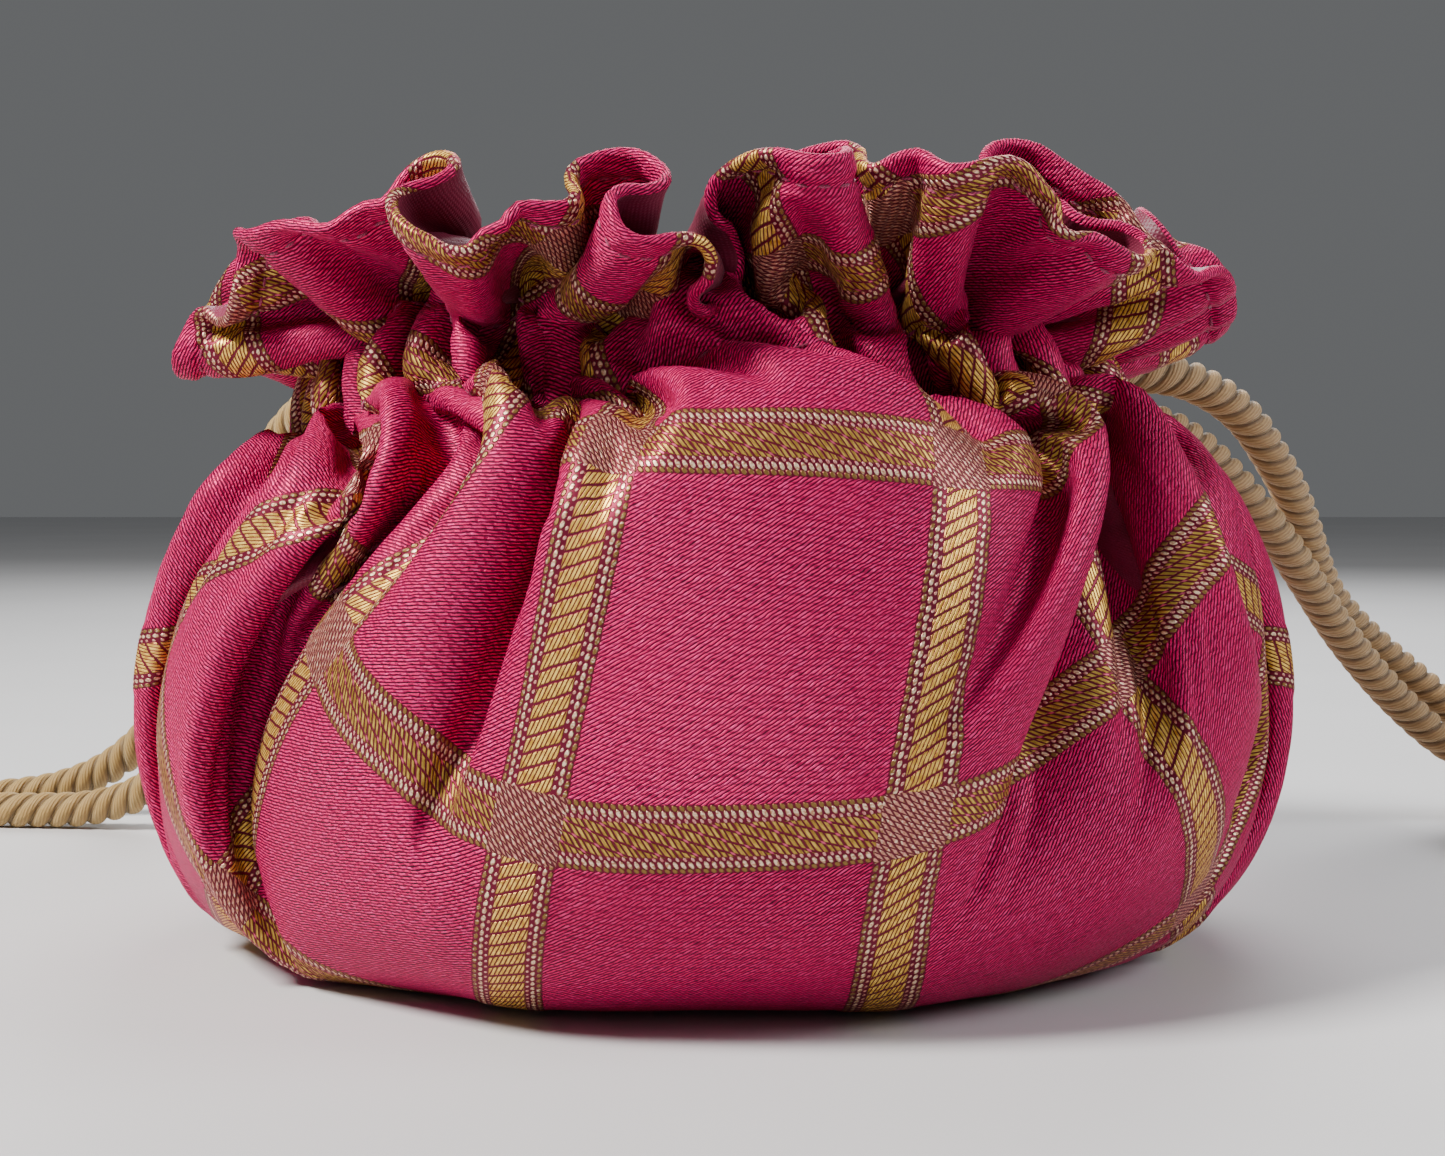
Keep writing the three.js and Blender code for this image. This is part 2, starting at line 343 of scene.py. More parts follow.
def cord_material(name, light, mid, dark):
    """Spun yarn: fine fibres along each strand, with painted shade in the grooves between the strands."""
    w = Weave(name)
    _, across, along, turn = w.attribute("yarn")
    lean = w.add(w.mul(across, 1.3), w.mul(along, 1.25))
    fibres = w.noise(w.vector(w.mul(across, 9.0), w.mul(lean, 0.5), turn), 2.0, 3.0)
    plies = w.wave(w.add(w.mul(across, 2.5), w.mul(along, 0.35)))
    patch = w.noise(w.vector(w.mul(along, 0.04), across, 0.0), 1.0, 2.0)
    # Painted shade: the colour darkens to the last colour towards the grooves between the strands.
    groove = w.ramp(w.math("ABSOLUTE", across), 0.5, 0.98)
    tone = w.add(w.mul(fibres, 0.6), w.mul(plies, 0.22), w.mul(patch, 0.25))
    color = w.mix(w.ramp(tone, 0.3, 0.85), mid, light)
    color = w.mix(w.mul(groove, 0.85), color, dark)
    height = w.add(w.mul(fibres, 0.7), w.mul(plies, 0.5))
    return w.finish(color, 0.62, w.bump(height, 0.00022, 0.8), 0.35, 0.45, (1.0, 0.9, 0.7))


# The last colour of each cord is the painted shade in its grooves.
tan_cord = cord_material("tan_cord", (0.55, 0.345, 0.15), (0.30, 0.165, 0.060), (0.050, 0.020, 0.007))
olive_cord = cord_material("olive_cord", (0.50, 0.33, 0.11), (0.28, 0.165, 0.045), (0.05, 0.022, 0.006))

# Routes of the free strands, given point by point. Each goes on from the straight exit.
RIGHT_UPPER_ROUTE = [
    (66.5, 31.3, 74.6), (74, 36.3, 72.5), (80.5, 41.8, 68.6), (86, 48, 63), (91, 55, 57), (95, 62, 51),
    (98.5, 69, 45.5), (102.5, 75, 40), (108, 80, 34.7), (114.5, 84.5, 29.5), (121.5, 88.3, 24.3),
    (128.5, 91, 19), (135.5, 92.6, 14.6), (142.5, 93.2, 11),
]
RIGHT_LOWER_ROUTE = [
    (64.3, 29.6, 67.4), (72, 35.4, 64), (78.5, 40.5, 58.8), (84.5, 46, 53.2), (90, 52, 47.8), (95, 58, 42.2),
    (100, 64.2, 36.6), (105.3, 70.2, 31.2), (111, 75.8, 25.8), (117.2, 80.6, 20.4), (123.8, 84.2, 15.2),
    (130.5, 86.5, 11),
]
LEFT_UPPER_ROUTE = [
    (-56, 47, 74), (-63, 53.5, 71), (-69.7, 60.3, 65.3), (-75.4, 66.8, 57.3), (-80.3, 73, 47.6),
    (-85, 79, 37), (-90.2, 84.5, 26.4), (-96.8, 88.8, 16.8), (-105, 91.2, 9.4), (-114.4, 92.2, 5.2),
    (-124.4, 92.6, 3.5), (-132.4, 92.8, 3.1), (-139.5, 92.9, 3),
]
LEFT_LOWER_ROUTE = [
    (-55.5, 46.5, 66.6), (-62, 52, 62.4), (-68.2, 57.4, 55.2), (-73.6, 62.3, 45.6), (-78.3, 66.6, 34.6),
    (-83, 70.4, 23.6), (-88.8, 73.8, 13.8), (-96.2, 76.4, 6.8), (-105, 78.3, 3.7), (-114, 79.6, 3),
    (-121.8, 80.6, 3),
]
# How each strand settles onto the coil and how it ends in the knot, from the coil's centre.
# They are written for the right side; the left side turns them over.
OUTER_LANDING = {"right": [(-10, 38.1, 6.6), (-2, 36.4, 3.8)], "left": [(-10, 38.2, 3)]}
INNER_LANDING = {
    "right": [(-22.5, 32.2, 7.2), (-15.2, 31.4, 4.3)],
    "left": [(-28, 29.8, 3), (-20.2, 31, 3), (-13.4, 30.8, 3)],
}
OUTER_ENDING = [(-34.2, 6.6, 3), (-28.8, 11.9, 3), (-20.6, 14.9, 3), (-11.4, 13.8, 3.2), (-5, 8.4, 4)]
INNER_ENDING = [(-25.6, -8, 3), (-21.6, -1.6, 3), (-14.6, 1.6, 3.2), (-7, 1, 4)]
COIL_OUTER_TURN = 36.3
COIL_INNER_TURN = 30.0
OUTER_TURN_DEGREES = (84, -170)
INNER_TURN_DEGREES = (104, -152)
COIL_STEP_DEGREES = 14
LOWER_LEVEL = 68.0
UPPER_LEVEL = 75.0
STUB_START = 50.4
HIDDEN_START = 42.5
RING_RADIUS = 38.2
STRAND_PHASE = 0.7
SIDES = {
    "right": {"exit": math.radians(25), "coil": (160.0, 55.0), "turn_over": 1, "cord": tan_cord,
              "upper": RIGHT_UPPER_ROUTE, "lower": RIGHT_LOWER_ROUTE, "ring": LOWER_LEVEL},
    "left": {"exit": math.radians(140), "coil": (-158.0, 54.0), "turn_over": -1, "cord": olive_cord,
             "upper": LEFT_UPPER_ROUTE, "lower": LEFT_LOWER_ROUTE, "ring": UPPER_LEVEL},
}


def along_exit(side, radius, height):
    angle = SIDES[side]["exit"]
    return np.array((radius * math.cos(angle), radius * math.sin(angle), height))


def strand_line(side, row):
    """The strand's whole centreline, from inside the channel to its knot."""
    facts = SIDES[side]
    level = UPPER_LEVEL if row == "upper" else LOWER_LEVEL
    landing = OUTER_LANDING if row == "upper" else INNER_LANDING
    ending = OUTER_ENDING if row == "upper" else INNER_ENDING
    radius = COIL_OUTER_TURN if row == "upper" else COIL_INNER_TURN
    first, last = OUTER_TURN_DEGREES if row == "upper" else INNER_TURN_DEGREES
    steps = int(abs(last - first) / COIL_STEP_DEGREES)
    turns = []
    for k in range(steps + 1):
        angle = math.radians(first + (last - first) * k / steps)
        turns.append((radius * math.cos(angle), radius * math.sin(angle), CORD_DIAMETER / 2))
    local = [*landing[side], *turns, *ending]
    cx, cy = facts["coil"]
    coiled = [(cx + facts["turn_over"] * x, cy + y, z) for x, y, z in local]
    straight = [along_exit(side, r, level) for r in (HIDDEN_START, STUB_START, 54, 59)]
    return evenly(catmull_rom([*straight, *facts[row], *coiled], 12), CORD_STEP)


KNOT_SIZE = 2.15
KNOT_WIDE = 1.12
KNOT_DEEP = 0.92
KNOT_WAVE = 2.7
KNOT_HEIGHT = 5.9
KNOT_CORD_SCALE = 0.92
TAIL_LEANS = (-0.5, 0.25)
TAIL_ROUNDING = 1.6


def knot_loop():
    """The closed line of an overhand knot."""
    t = np.linspace(0, TAU, 160)[:-1]
    x = KNOT_SIZE * (np.sin(t) + 2 * np.sin(2 * t)) * KNOT_WIDE
    y = KNOT_SIZE * (np.cos(t) - 2 * np.cos(2 * t)) * KNOT_DEEP
    z = -KNOT_WAVE * np.sin(3 * t) + KNOT_HEIGHT
    loop = np.stack([x, y, z], 1)
    return np.vstack([loop, loop[:1]])


def make_knot(side):
    """An overhand knot of both strands, with two short ends."""
    facts = SIDES[side]
    parts = [twisted_tube(evenly(knot_loop(), CORD_STEP), 0.0, KNOT_CORD_SCALE)]
    for lean in TAIL_LEANS:
        tail = [(4, 3 * lean, 4.4), (9, 6 * lean, 3.6), (14, 12 * lean, 3), (19, 17 * lean, 3)]
        parts.append(twisted_tube(evenly(catmull_rom(tail, 10), CORD_STEP), lean, 1.0, TAIL_ROUNDING))
    points, faces, yarn = join_parts(parts)
    points = points * (facts["turn_over"], 1, 1) + (*facts["coil"], 0)
    if facts["turn_over"] < 0:
        faces = [face[::-1] for face in faces]
    points[:, 2] = np.maximum(points[:, 2], 0.05)
    return mesh_object(f"{side}_drawstring_knot", points, faces, facts["cord"], {"yarn": yarn})


def make_strand(side, row):
    """One free strand of a drawstring, from inside the channel to the knot."""
    facts = SIDES[side]
    line = strand_line(side, row)
    points, faces, yarn = twisted_tube(line, STRAND_PHASE * facts["turn_over"])
    strand = mesh_object(f"{side}_drawstring_{row}", points, faces, facts["cord"], {"yarn": yarn})
    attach(strand, f"{side}_drawstring")
    if row == "upper":
        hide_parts(f"{side}_strand_upper", f"{side}_cord_coil")
    else:
        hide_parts(f"{side}_strand_lower")


def make_channel_ring(side):
    """The part of a drawstring that lies in the channel."""
    facts = SIDES[side]
    turn = np.linspace(0, TAU, 400)
    ring = np.stack([RING_RADIUS * np.cos(turn), RING_RADIUS * np.sin(turn), 0 * turn + facts["ring"]], 1)
    points, faces, yarn = twisted_tube(ring)
    ringed = mesh_object(f"{side}_drawstring_in_channel", points, faces, facts["cord"], {"yarn": yarn})
    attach(ringed, "bag")
    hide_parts(f"{side}_cord_in_channel")


def make_drawstring(side):
    knot = make_knot(side)
    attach(knot, f"{side}_drawstring")
    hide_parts(f"{side}_cord_knot")
    for row in ("upper", "lower"):
        make_strand(side, row)
    make_channel_ring(side)


for side in SIDES:
    make_drawstring(side)

# ---------------------------------------------------------------- gathered cloth

COLUMNS = 480
FLAT_INNER = 36.0
RIM = 184.0
ROW_STEP = 2.4
LOWER_STITCH = 145.0
UPPER_STITCH = 160.0
CORD_CLEAR = 42.0
EXIT_CLEAR = 3.6
LAYER_GAP = 2.2
TABLE_CLEAR = 0.7
BASE_HELD = 44.0
PRESSURE = .03
STEPS = 170
MOMENTUM = .85
MOST_DRIFT = .5
# Flat radii of the shoulder's start, and of the cloth that the drawstrings may touch
SHOULDER_START = 122
NEAR_CORD = (138, 166)
# The share of the way back to the first guess that each part of the cloth takes in a step
PULL = {"channel": .2, "shoulder": .07, "ruffle": .08, "body": .012, "hollow": .05}
# How far each part sinks in a step
SINK = {"ruffle": .004, "body": .008}
ROWS = int(round((RIM - FLAT_INNER) / ROW_STEP)) + 1
rho = np.linspace(FLAT_INNER, RIM, ROWS)
phi = (np.arange(COLUMNS) + 0.5) / COLUMNS * TAU - math.pi

# Outline of the bulges: flat radius, radius, height
PROFILE = [
    (36, 36, .7), (48, 48, .7), (56, 55.8, 1.4), (62, 61.2, 3.6), (70, 67, 8.8), (80, 71.4, 17.6),
    (88, 73.8, 25.2), (98, 75, 35.1), (108, 74.6, 45.1), (116, 73.2, 52.9), (122, 71, 58.4),
    (128, 67.6, 62.9), (133, 63.2, 65.8), (137, 59.4, 67.2), (141, 56, 67), (145, 52.5, 64.4),
    (149, 55, 67.4),
    (153, 56.4, 70.4), (157, 54, 73.8), (160, 48.8, 75.6), (184, 52, 99),
]
# How much higher the neck's folds stand than that, by flat angle. The exits are the low places
NECK_LIFT = [
    (0, 9), (10, 1.5), (25, 4), (45, 2), (65, -1), (90, -2.5), (112, -2), (130, -1), (150, 0),
    (180, 1), (-160, 0), (-140, -1), (-120, -2), (-90, -2.5), (-65, -1), (-45, 2), (-25, 4.5), (-10, 1),
]
# Valleys: flat angle at the neck, flat radius where it starts, strength, turn towards the base,
# skew (above 0 it is steep on its left)
VALLEYS = [
    (-11.8, 74, 2.3, -4, -.15), (-6.6, 122, .8, 0, 0), (-2.2, 138, .6, 0, 0), (2, 138, .6, 0, 0),
    (6, 123, .8, 0, 0), (12.5, 124, .9, 0, 0), (23, 76, 1.7, -4, .4), (31, 128, .8, 0, 0),
    (42, 78, 1.6, 5, 0), (54, 122, .9, 0, 0), (64, 116, .9, 0, 0), (75, 64, 1.3, 0, 0),
    (87, 120, .9, 0, 0), (97, 116, .9, 0, 0), (107, 64, 1.3, 3, .15), (119, 118, .9, 0, 0),
    (131, 108, 1, 0, 0), (142, 64, 1.3, -3, -.15), (154, 116, .9, 0, 0), (166, 120, .9, 0, 0),
    (177, 64, 1.3, 0, 0), (-19, 126, .8, 0, 0), (-26, 104, 1, 2, 0), (-33, 126, .7, 0, 0),
    (-41, 62, 2, -10, .1), (-50, 122, .8, 0, 0), (-57, 114, .9, 0, 0), (-66, 120, .8, 0, 0),
    (-75, 64, 1.3, -2, 0), (-85, 114, .9, 0, 0), (-95, 122, .8, 0, 0), (-105, 62, 1.3, 3, 0),
    (-116, 120, .8, 0, 0), (-127, 112, .9, 0, 0), (-138, 66, 1.3, -3, .15), (-150, 114, .9, 0, 0),
    (-161, 120, .9, 0, 0), (-172, 116, .9, 0, 0),
]
# Broad hollows in the belly: flat angle, flat radius, half width and half height in mm, depth
HOLLOWS = [
    (-19, 106, 15, 26, 7), (25, 98, 14, 22, 6), (-47, 100, 13, 26, 6), (56, 98, 14, 24, 6),
    (108, 100, 14, 24, 6), (150, 100, 14, 24, 6), (-150, 98, 15, 24, 6), (-104, 100, 14, 24, 6),
]
# The turn of each ring about the axis, in degrees, by flat radius
TWIST = [(36, -3), (88, -2.5), (108, 3), (124, 9), (134, 11), (142, 5), (150, 0), (184, -2)]
# The ruffle's edge from left to right across the front: flat angle, angle round the bag, radius, height
RIM_FRONT = [
    (-64, -84, 50, 91), (-60.5, -86, 60, 86), (-56, -81, 72, 77), (-51, -71, 74, 74), (-47.5, -66, 67, 80),
    (-44.5, -61, 66, 86), (-40.5, -51, 70, 88), (-37.5, -43, 68, 89), (-35, -36.5, 62, 91),
    (-33.2, -31, 58, 93),
    (-31.8, -26.5, 60, 95), (-30.4, -28.5, 65, 94), (-28.6, -31.5, 69, 90.5), (-26, -26, 74, 86.5),
    (-23.5, -19.5, 73, 86.5), (-20.5, -14.5, 68, 89.5), (-17.5, -12.5, 61, 90.5), (-14, -7.5, 60, 91.5),
    (-11, -8.5, 67, 89.5), (-8.5, -4, 71, 88), (-5.8, -.5, 64, 85), (-3, -1.5, 55.5, 82), (-.5, -.8, 48, 80),
    (2.2, .6, 49, 88), (4.4, 2.2, 55.5, 92), (7.8, 8.3, 67, 96), (10.8, 13.6, 62, 95),
    (12.8, 13.2, 56, 92.5),
    (14.6, 14.6, 50.5, 92.5), (16.4, 16.2, 55.5, 94.5), (18.4, 16.4, 61.5, 97), (21.5, 21.5, 69, 98.5),
    (24.5, 28, 69, 95),
    (28, 34.5, 73, 88), (31, 41, 76, 84.5), (33.5, 45.5, 72, 86), (35.8, 43, 64, 90), (38, 39, 57, 94),
    (40, 38, 51, 96), (42.5, 44, 54, 96), (46, 51, 64, 93), (49.5, 57, 71, 88), (53, 64.5, 74, 82.5),
    (56.5, 71, 68, 85), (60, 74, 58, 90),
]
# The other lobes: flat angle of the middle, flat width, radius and height of the tip
RIM_LOBES = [
    (68.5, 17, 72, 84), (87, 20, 75, 80), (107, 20, 71, 88), (127, 20, 75, 82), (147, 20, 72, 87),
    (168, 22, 75, 80), (190, 22, 72, 86), (210, 18, 74, 82), (229, 20, 71, 89), (249, 20, 75, 82),
    (268, 18, 72, 86), (286.5, 19, 75, 79),
]
RIM_VALLEY = (48.5, 94.0)
# Points of a folded ring for each column, and the furthest that the cloth leans over in a fold
RING_DETAIL = 12
MOST_LEAN = 1.95


def spline(xs, ys, x):
    """A smooth curve through (xs, ys) that keeps to each span's ends."""
    xs, ys = np.asarray(xs, float), np.asarray(ys, float)
    width = np.diff(xs)
    rise = np.diff(ys) / width
    inner_slopes = (rise[:-1] * width[1:] + rise[1:] * width[:-1]) / (width[1:] + width[:-1])
    slope = np.r_[rise[0], inner_slopes, rise[-1]]
    k = np.clip(np.searchsorted(xs, x) - 1, 0, len(xs) - 2)
    t = (x - xs[k]) / width[k]
    return ((2 * t**3 - 3 * t**2 + 1) * ys[k] + (t**3 - 2 * t**2 + t) * width[k] * slope[k]
            + (3 * t**2 - 2 * t**3) * ys[k + 1] + (t**3 - t**2) * width[k] * slope[k + 1])


def smoothstep(low, high, x):
    t = np.clip((x - low) / (high - low), 0, 1)
    return t * t * (3 - 2 * t)


def round_curve(table, at):
    """A smooth curve of the columns of a table that goes round, by its first column in degrees."""
    table = np.array(sorted(table), float)
    angles = np.radians(table[:, 0])
    angles = np.r_[angles[-3:] - TAU, angles, angles[:3] + TAU]
    columns = [spline(angles, np.r_[column[-3:], column, column[:3]], at) for column in table[:, 1:].T]
    return np.stack(columns, -1)


def rim_line():
    """The ruffle's edge, for each column."""
    spots = [list(row) for row in RIM_FRONT]
    first, last = RIM_FRONT[-1], RIM_FRONT[0]
    ratio = (last[1] + 360 - first[1]) / (last[0] + 360 - first[0])
    for k, (middle, width, reach, height) in enumerate(RIM_LOBES):
        around = first[1] + (middle - first[0]) * ratio
        half = width / 2 * ratio
        low_r, low_z = RIM_VALLEY
        shoulder_r = .42 * low_r + .58 * reach
        shoulder_z = .4 * low_z + .6 * height
        spots.append([middle - width * .25, around - half * .82, shoulder_r, shoulder_z])
        spots.append([middle, around + half * .25 * (-1) ** k, reach, height])
        spots.append([middle + width * .25, around + half * .82, shoulder_r, shoulder_z])
        if k < len(RIM_LOBES) - 1:
            spots.append([middle + width / 2, around + half, low_r, low_z])
    table = []
    for angle, around, reach, height in spots:
        a = math.radians(around)
        angle = angle - 360 if angle > 180 else angle
        table.append((angle, reach * math.sin(a), -reach * math.cos(a), height))
    return round_curve(table, phi)


def fold_reach(centre, grown, widest):
    """How far each valley reaches to its right; the further one has grown, the more of a gap it takes."""
    share = .12 + .88 * grown
    after = np.roll(share, -1)
    gap = np.mod(np.roll(centre, -1) - centre, TAU)
    return np.minimum(gap * share / (share + after), widest)


def hollow_weight():
    """How deep each point of the cloth lies in the broad hollows, in millimetres."""
    deep = np.zeros((ROWS, COLUMNS))
    for angle, place, wide, tall, depth in HOLLOWS:
        offset = (np.mod(phi - math.radians(angle) + math.pi, TAU) - math.pi)[None, :] * rho[:, None] / wide
        far = np.sqrt(offset**2 + ((rho[:, None] - place) / tall) ** 2)
        deep += depth * (1 - smoothstep(0, 1, far))
    return deep


def folded_ring(folds, p, outline):
    """Angle, radius and unevenness of each column of a ring that is folded to its flat length.

    The ring leans in and out round its valleys. How much it leans is found by halving, from its length.
    """
    at, start, strength, drift, skew, uneven = folds
    fine = RING_DETAIL
    around = (np.arange(COLUMNS * fine) + 0.5) / (COLUMNS * fine) * TAU - math.pi
    body_t = smoothstep(95, LOWER_STITCH, p)
    grown = smoothstep(start, start + np.where(start > 100, 20, 46), p)
    widest = math.radians(9 + 7 * (1 - body_t))
    centre = at + drift * (1 - body_t)
    right = fold_reach(at, grown, widest) * (1 + np.minimum(skew, 0))
    left = fold_reach(-at[::-1], grown[::-1], widest)[::-1] * (1 - np.maximum(skew, 0))
    lean = np.zeros_like(around)
    for k in range(len(at)):
        offset = np.mod(around - centre[k] + math.pi, TAU) - math.pi
        u = np.where(offset < 0, offset / left[k], offset / right[k])
        inside = np.abs(u) < 1
        lean[inside] -= np.sin(math.pi * u[inside]) * (grown[k] * strength[k] + 1e-4)
    marks = np.sort(np.searchsorted(around, centre))
    spans = [np.arange(a, max(b, a + 1)) for a, b in zip(marks[:-1], marks[1:])]
    spans.append(np.arange(marks[-1], marks[0] + len(around)) % len(around))

    def folded(amount):
        angle = np.clip(amount * lean, -MOST_LEAN, MOST_LEAN)
        go = np.cumsum(np.cos(angle))
        deep = np.cumsum(np.sin(angle)) * p * (TAU / (COLUMNS * fine))
        deep = deep - deep[-1] * (around + math.pi) / TAU
        crests = np.array([span[np.argmax(deep[span])] for span in spans])
        crests.sort()
        knots = np.r_[around[crests[-1]] - TAU, around[crests], around[crests[0]] + TAU]
        level = np.interp(around, knots, deep[np.r_[crests[-1], crests, crests[0]]])
        radius = outline - np.maximum(level - deep, -1)
        theta = go / go[-1] * TAU
        x, y = radius * np.sin(theta), -radius * np.cos(theta)
        return theta, radius, np.hypot(np.diff(np.r_[x, x[0]]), np.diff(np.r_[y, y[0]])).sum()

    wanted = TAU * p * (outline - 6) / (outline - 5.2)
    low, high = 0.0, 5.0
    if folded(low)[2] < wanted:
        for _ in range(24):
            middle = (low + high) / 2
            low, high = (middle, high) if folded(middle)[2] < wanted else (low, middle)
    theta, radius, _ = folded(low)
    theta = theta - np.interp(0.0, around, theta)
    chosen = np.arange(COLUMNS) * fine + fine // 2
    nearest = np.argmin(np.abs(np.mod(phi[:, None] - centre + math.pi, TAU) - math.pi + .06), 1)
    return theta[chosen], radius[chosen], uneven[:, nearest]


def pleated_rings():
    """The cloth before it settles: folded rings, and the ruffle drawn out to its edge."""
    at, start, strength, drift, skew = (np.array(c, float) for c in zip(*sorted(VALLEYS)))
    uneven = np.random.default_rng(5).uniform(-1, 1, (2, len(at)))
    folds = (np.radians(at), start, strength, np.radians(drift), skew, uneven)
    outline_r, outline_z = (spline(*np.array(PROFILE)[:, [0, k]].T, rho) for k in (1, 2))
    lift = round_curve(NECK_LIFT, phi)[:, 0]
    hollows = hollow_weight()
    rings = np.zeros((ROWS, COLUMNS, 3))
    last = int(np.searchsorted(rho, UPPER_STITCH + .5))
    for j in range(last + 1):
        p, top = rho[j], outline_r[j]
        theta, radius, knobs = folded_ring(folds, p, top)
        theta = theta + math.radians(np.interp(p, *zip(*TWIST)))
        knob = math.exp(-((p - 152) / 11) ** 2)
        radius = np.maximum(radius, 38) + knob * 1.8 * knobs[0] * np.clip((radius - top + 8) / 8, 0, 1)
        radius = radius - hollows[j] + .55 * lift * math.exp(-((p - 138) / 8) ** 2)
        rise = lift * smoothstep(104, 128, p) * (1 - .4 * smoothstep(148, 160, p))
        rings[j, :, 0] = radius * np.sin(theta)
        rings[j, :, 1] = -radius * np.cos(theta)
        rings[j, :, 2] = outline_z[j] + rise + knob * 1.8 * knobs[1]
    edge = rim_line()
    for j in range(last + 1, ROWS):
        t = (rho[j] - rho[last]) / (RIM - rho[last])
        rings[j] = rings[last] + (edge - rings[last]) * np.array((t**.72, t**.72, t**1.1))
    return rings


# How hard each kind of link resists: when longer, when shorter, and the share of its length below
# which it counts as shorter
LINKS = {"thread": (1.0, .8, 1.0), "bias": (.55, .25, .98), "bend": (.5, .30, .93), "fold": (.3, .10, .85)}


def cloth_links(flat):
    """Pairs of points that the cloth holds at their flat distance, in sets that share no point."""
    rows, columns = np.meshgrid(np.arange(ROWS), np.arange(COLUMNS), indexing="ij")
    sets = []
    for down, right, kind in ((0, 1, "thread"), (1, 0, "thread"), (1, 1, "bias"), (1, -1, "bias"),
                              (0, 2, "bend"), (2, 0, "bend"), (0, 4, "fold"), (4, 0, "fold")):
        keep = rows + down < ROWS
        if down > 1:
            for seam in (LOWER_STITCH, UPPER_STITCH):
                crease = int(np.argmin(np.abs(rho - seam)))
                keep &= (rows >= crease) | (rows + down <= crease)
        a = (rows * COLUMNS + columns)[keep]
        b = ((rows + down) * COLUMNS + (columns + right) % COLUMNS)[keep]
        side = ((rows // max(down, 1)) if down else (columns // abs(right)))[keep] % 2
        rest = np.linalg.norm(flat[a] - flat[b], axis=1)
        for half in (0, 1):
            m = side == half
            sets.append((a[m], b[m], rest[m], LINKS[kind]))
    return sets


def hold_lengths(points, free, links):
    """Draws each pair of a set of links towards its flat length."""
    a, b, rest, (longer, shorter, share) = links
    apart = points[b] - points[a]
    length = np.sqrt((apart * apart).sum(1)) + 1e-9
    free_a, free_b = free[a], free[b]
    error = np.where(length > rest, longer * (length - rest),
                     np.where(length < share * rest, shorter * (length - share * rest), 0.0))
    move = (error / length / (free_a + free_b + 1e-9))[:, None] * apart
    points[a] += free_a[:, None] * move
    points[b] -= free_b[:, None] * move


def close_pairs(points, distance):
    """All pairs of points nearer than distance, from a grid of boxes."""
    box = np.floor(points / distance).astype(np.int64)
    box -= box.min(0)
    size = box.max(0) + 3
    key = ((box[:, 0] + 1) * size[1] + box[:, 1] + 1) * size[2] + box[:, 2] + 1
    order = np.argsort(key, kind="stable")
    ranked = key[order]
    found = []
    for dx in (-1, 0, 1):
        for dy in (-1, 0, 1):
            for dz in (-1, 0, 1):
                shift = (dx * size[1] + dy) * size[2] + dz
                if shift < 0:
                    continue
                low = np.searchsorted(ranked, key + shift, "left")
                many = np.searchsorted(ranked, key + shift, "right") - low
                total = many.sum()
                if not total:
                    continue
                a = np.repeat(np.arange(len(points)), many)
                b = order[np.arange(total) - np.repeat(np.cumsum(many) - many, many) + np.repeat(low, many)]
                m = (a < b) if shift == 0 else (a != b)
                found.append(np.stack([a[m], b[m]], 1))
    pairs = np.concatenate(found)
    apart = points[pairs[:, 0]] - points[pairs[:, 1]]
    return pairs[(apart * apart).sum(1) < distance * distance]


def push_apart(points, free, pairs, distance):
    """Moves each pair that is nearer than distance away from each other."""
    a, b = pairs[:, 0], pairs[:, 1]
    apart = points[a] - points[b]
    length = np.sqrt((apart * apart).sum(1)) + 1e-9
    m = length < distance
    a, b, apart, length = a[m], b[m], apart[m], length[m]
    if not len(a):
        return
    move = (0.5 * (distance - length) / length)[:, None] * apart
    n = len(points)
    touched = np.bincount(a, minlength=n) + np.bincount(b, minlength=n)
    for k in range(3):
        shift = np.bincount(a, move[:, k], n) - np.bincount(b, move[:, k], n)
        points[:, k] += np.where(touched > 0, shift / np.maximum(touched, 1) * 1.3, 0) * (free > 0)


def grid_normals(grid):
    """Unit normals of a grid whose columns go round, pointing out of the bag."""
    across = np.roll(grid, -1, 1) - np.roll(grid, 1, 1)
    up = np.gradient(grid, axis=0)
    normal = np.cross(across, up)
    return normal / (np.linalg.norm(normal, axis=2, keepdims=True) + 1e-9)


def beside_exits(points, first, last):
    """For each strand's straight exit, the points beside it and the offset of every point from it."""
    for side in SIDES:
        for level in (LOWER_LEVEL, UPPER_LEVEL):
            start, end = along_exit(side, first, level), along_exit(side, last, level)
            length = np.linalg.norm(end - start)
            along = (end - start) / length
            rel = points - start
            t = rel @ along
            yield (t > 0) & (t < length), rel - t[:, None] * along


def push_off_cords(points, where):
    """Moves the channel's cloth off the drawstrings' straight ends."""
    for beside, away in beside_exits(points, 40, 64):
        distance = np.linalg.norm(away, axis=1) + 1e-9
        inside = where & beside & (distance < EXIT_CLEAR)
        points[inside] += (away / distance[:, None] * (EXIT_CLEAR - distance)[:, None])[inside]


def push_off_rings(points, where):
    """Moves the channel's cloth out of the drawstrings' rings."""
    out = np.hypot(points[:, 0], points[:, 1])
    grow = np.where(where & (out < CORD_CLEAR), CORD_CLEAR / np.maximum(out, 1e-6), 1.0)
    points[:, :2] *= grow[:, None]


def crowded_pairs(points, flat):
    """Pairs of points that are close together in space but not on the flat cloth."""
    near = close_pairs(points, LAYER_GAP * 1.5)
    apart = flat[near[:, 0]] - flat[near[:, 1]]
    return near[(apart * apart).sum(1) > (LAYER_GAP * 2) ** 2]


def in_channel(radius):
    return (radius >= LOWER_STITCH - 1) & (radius <= UPPER_STITCH + 1)


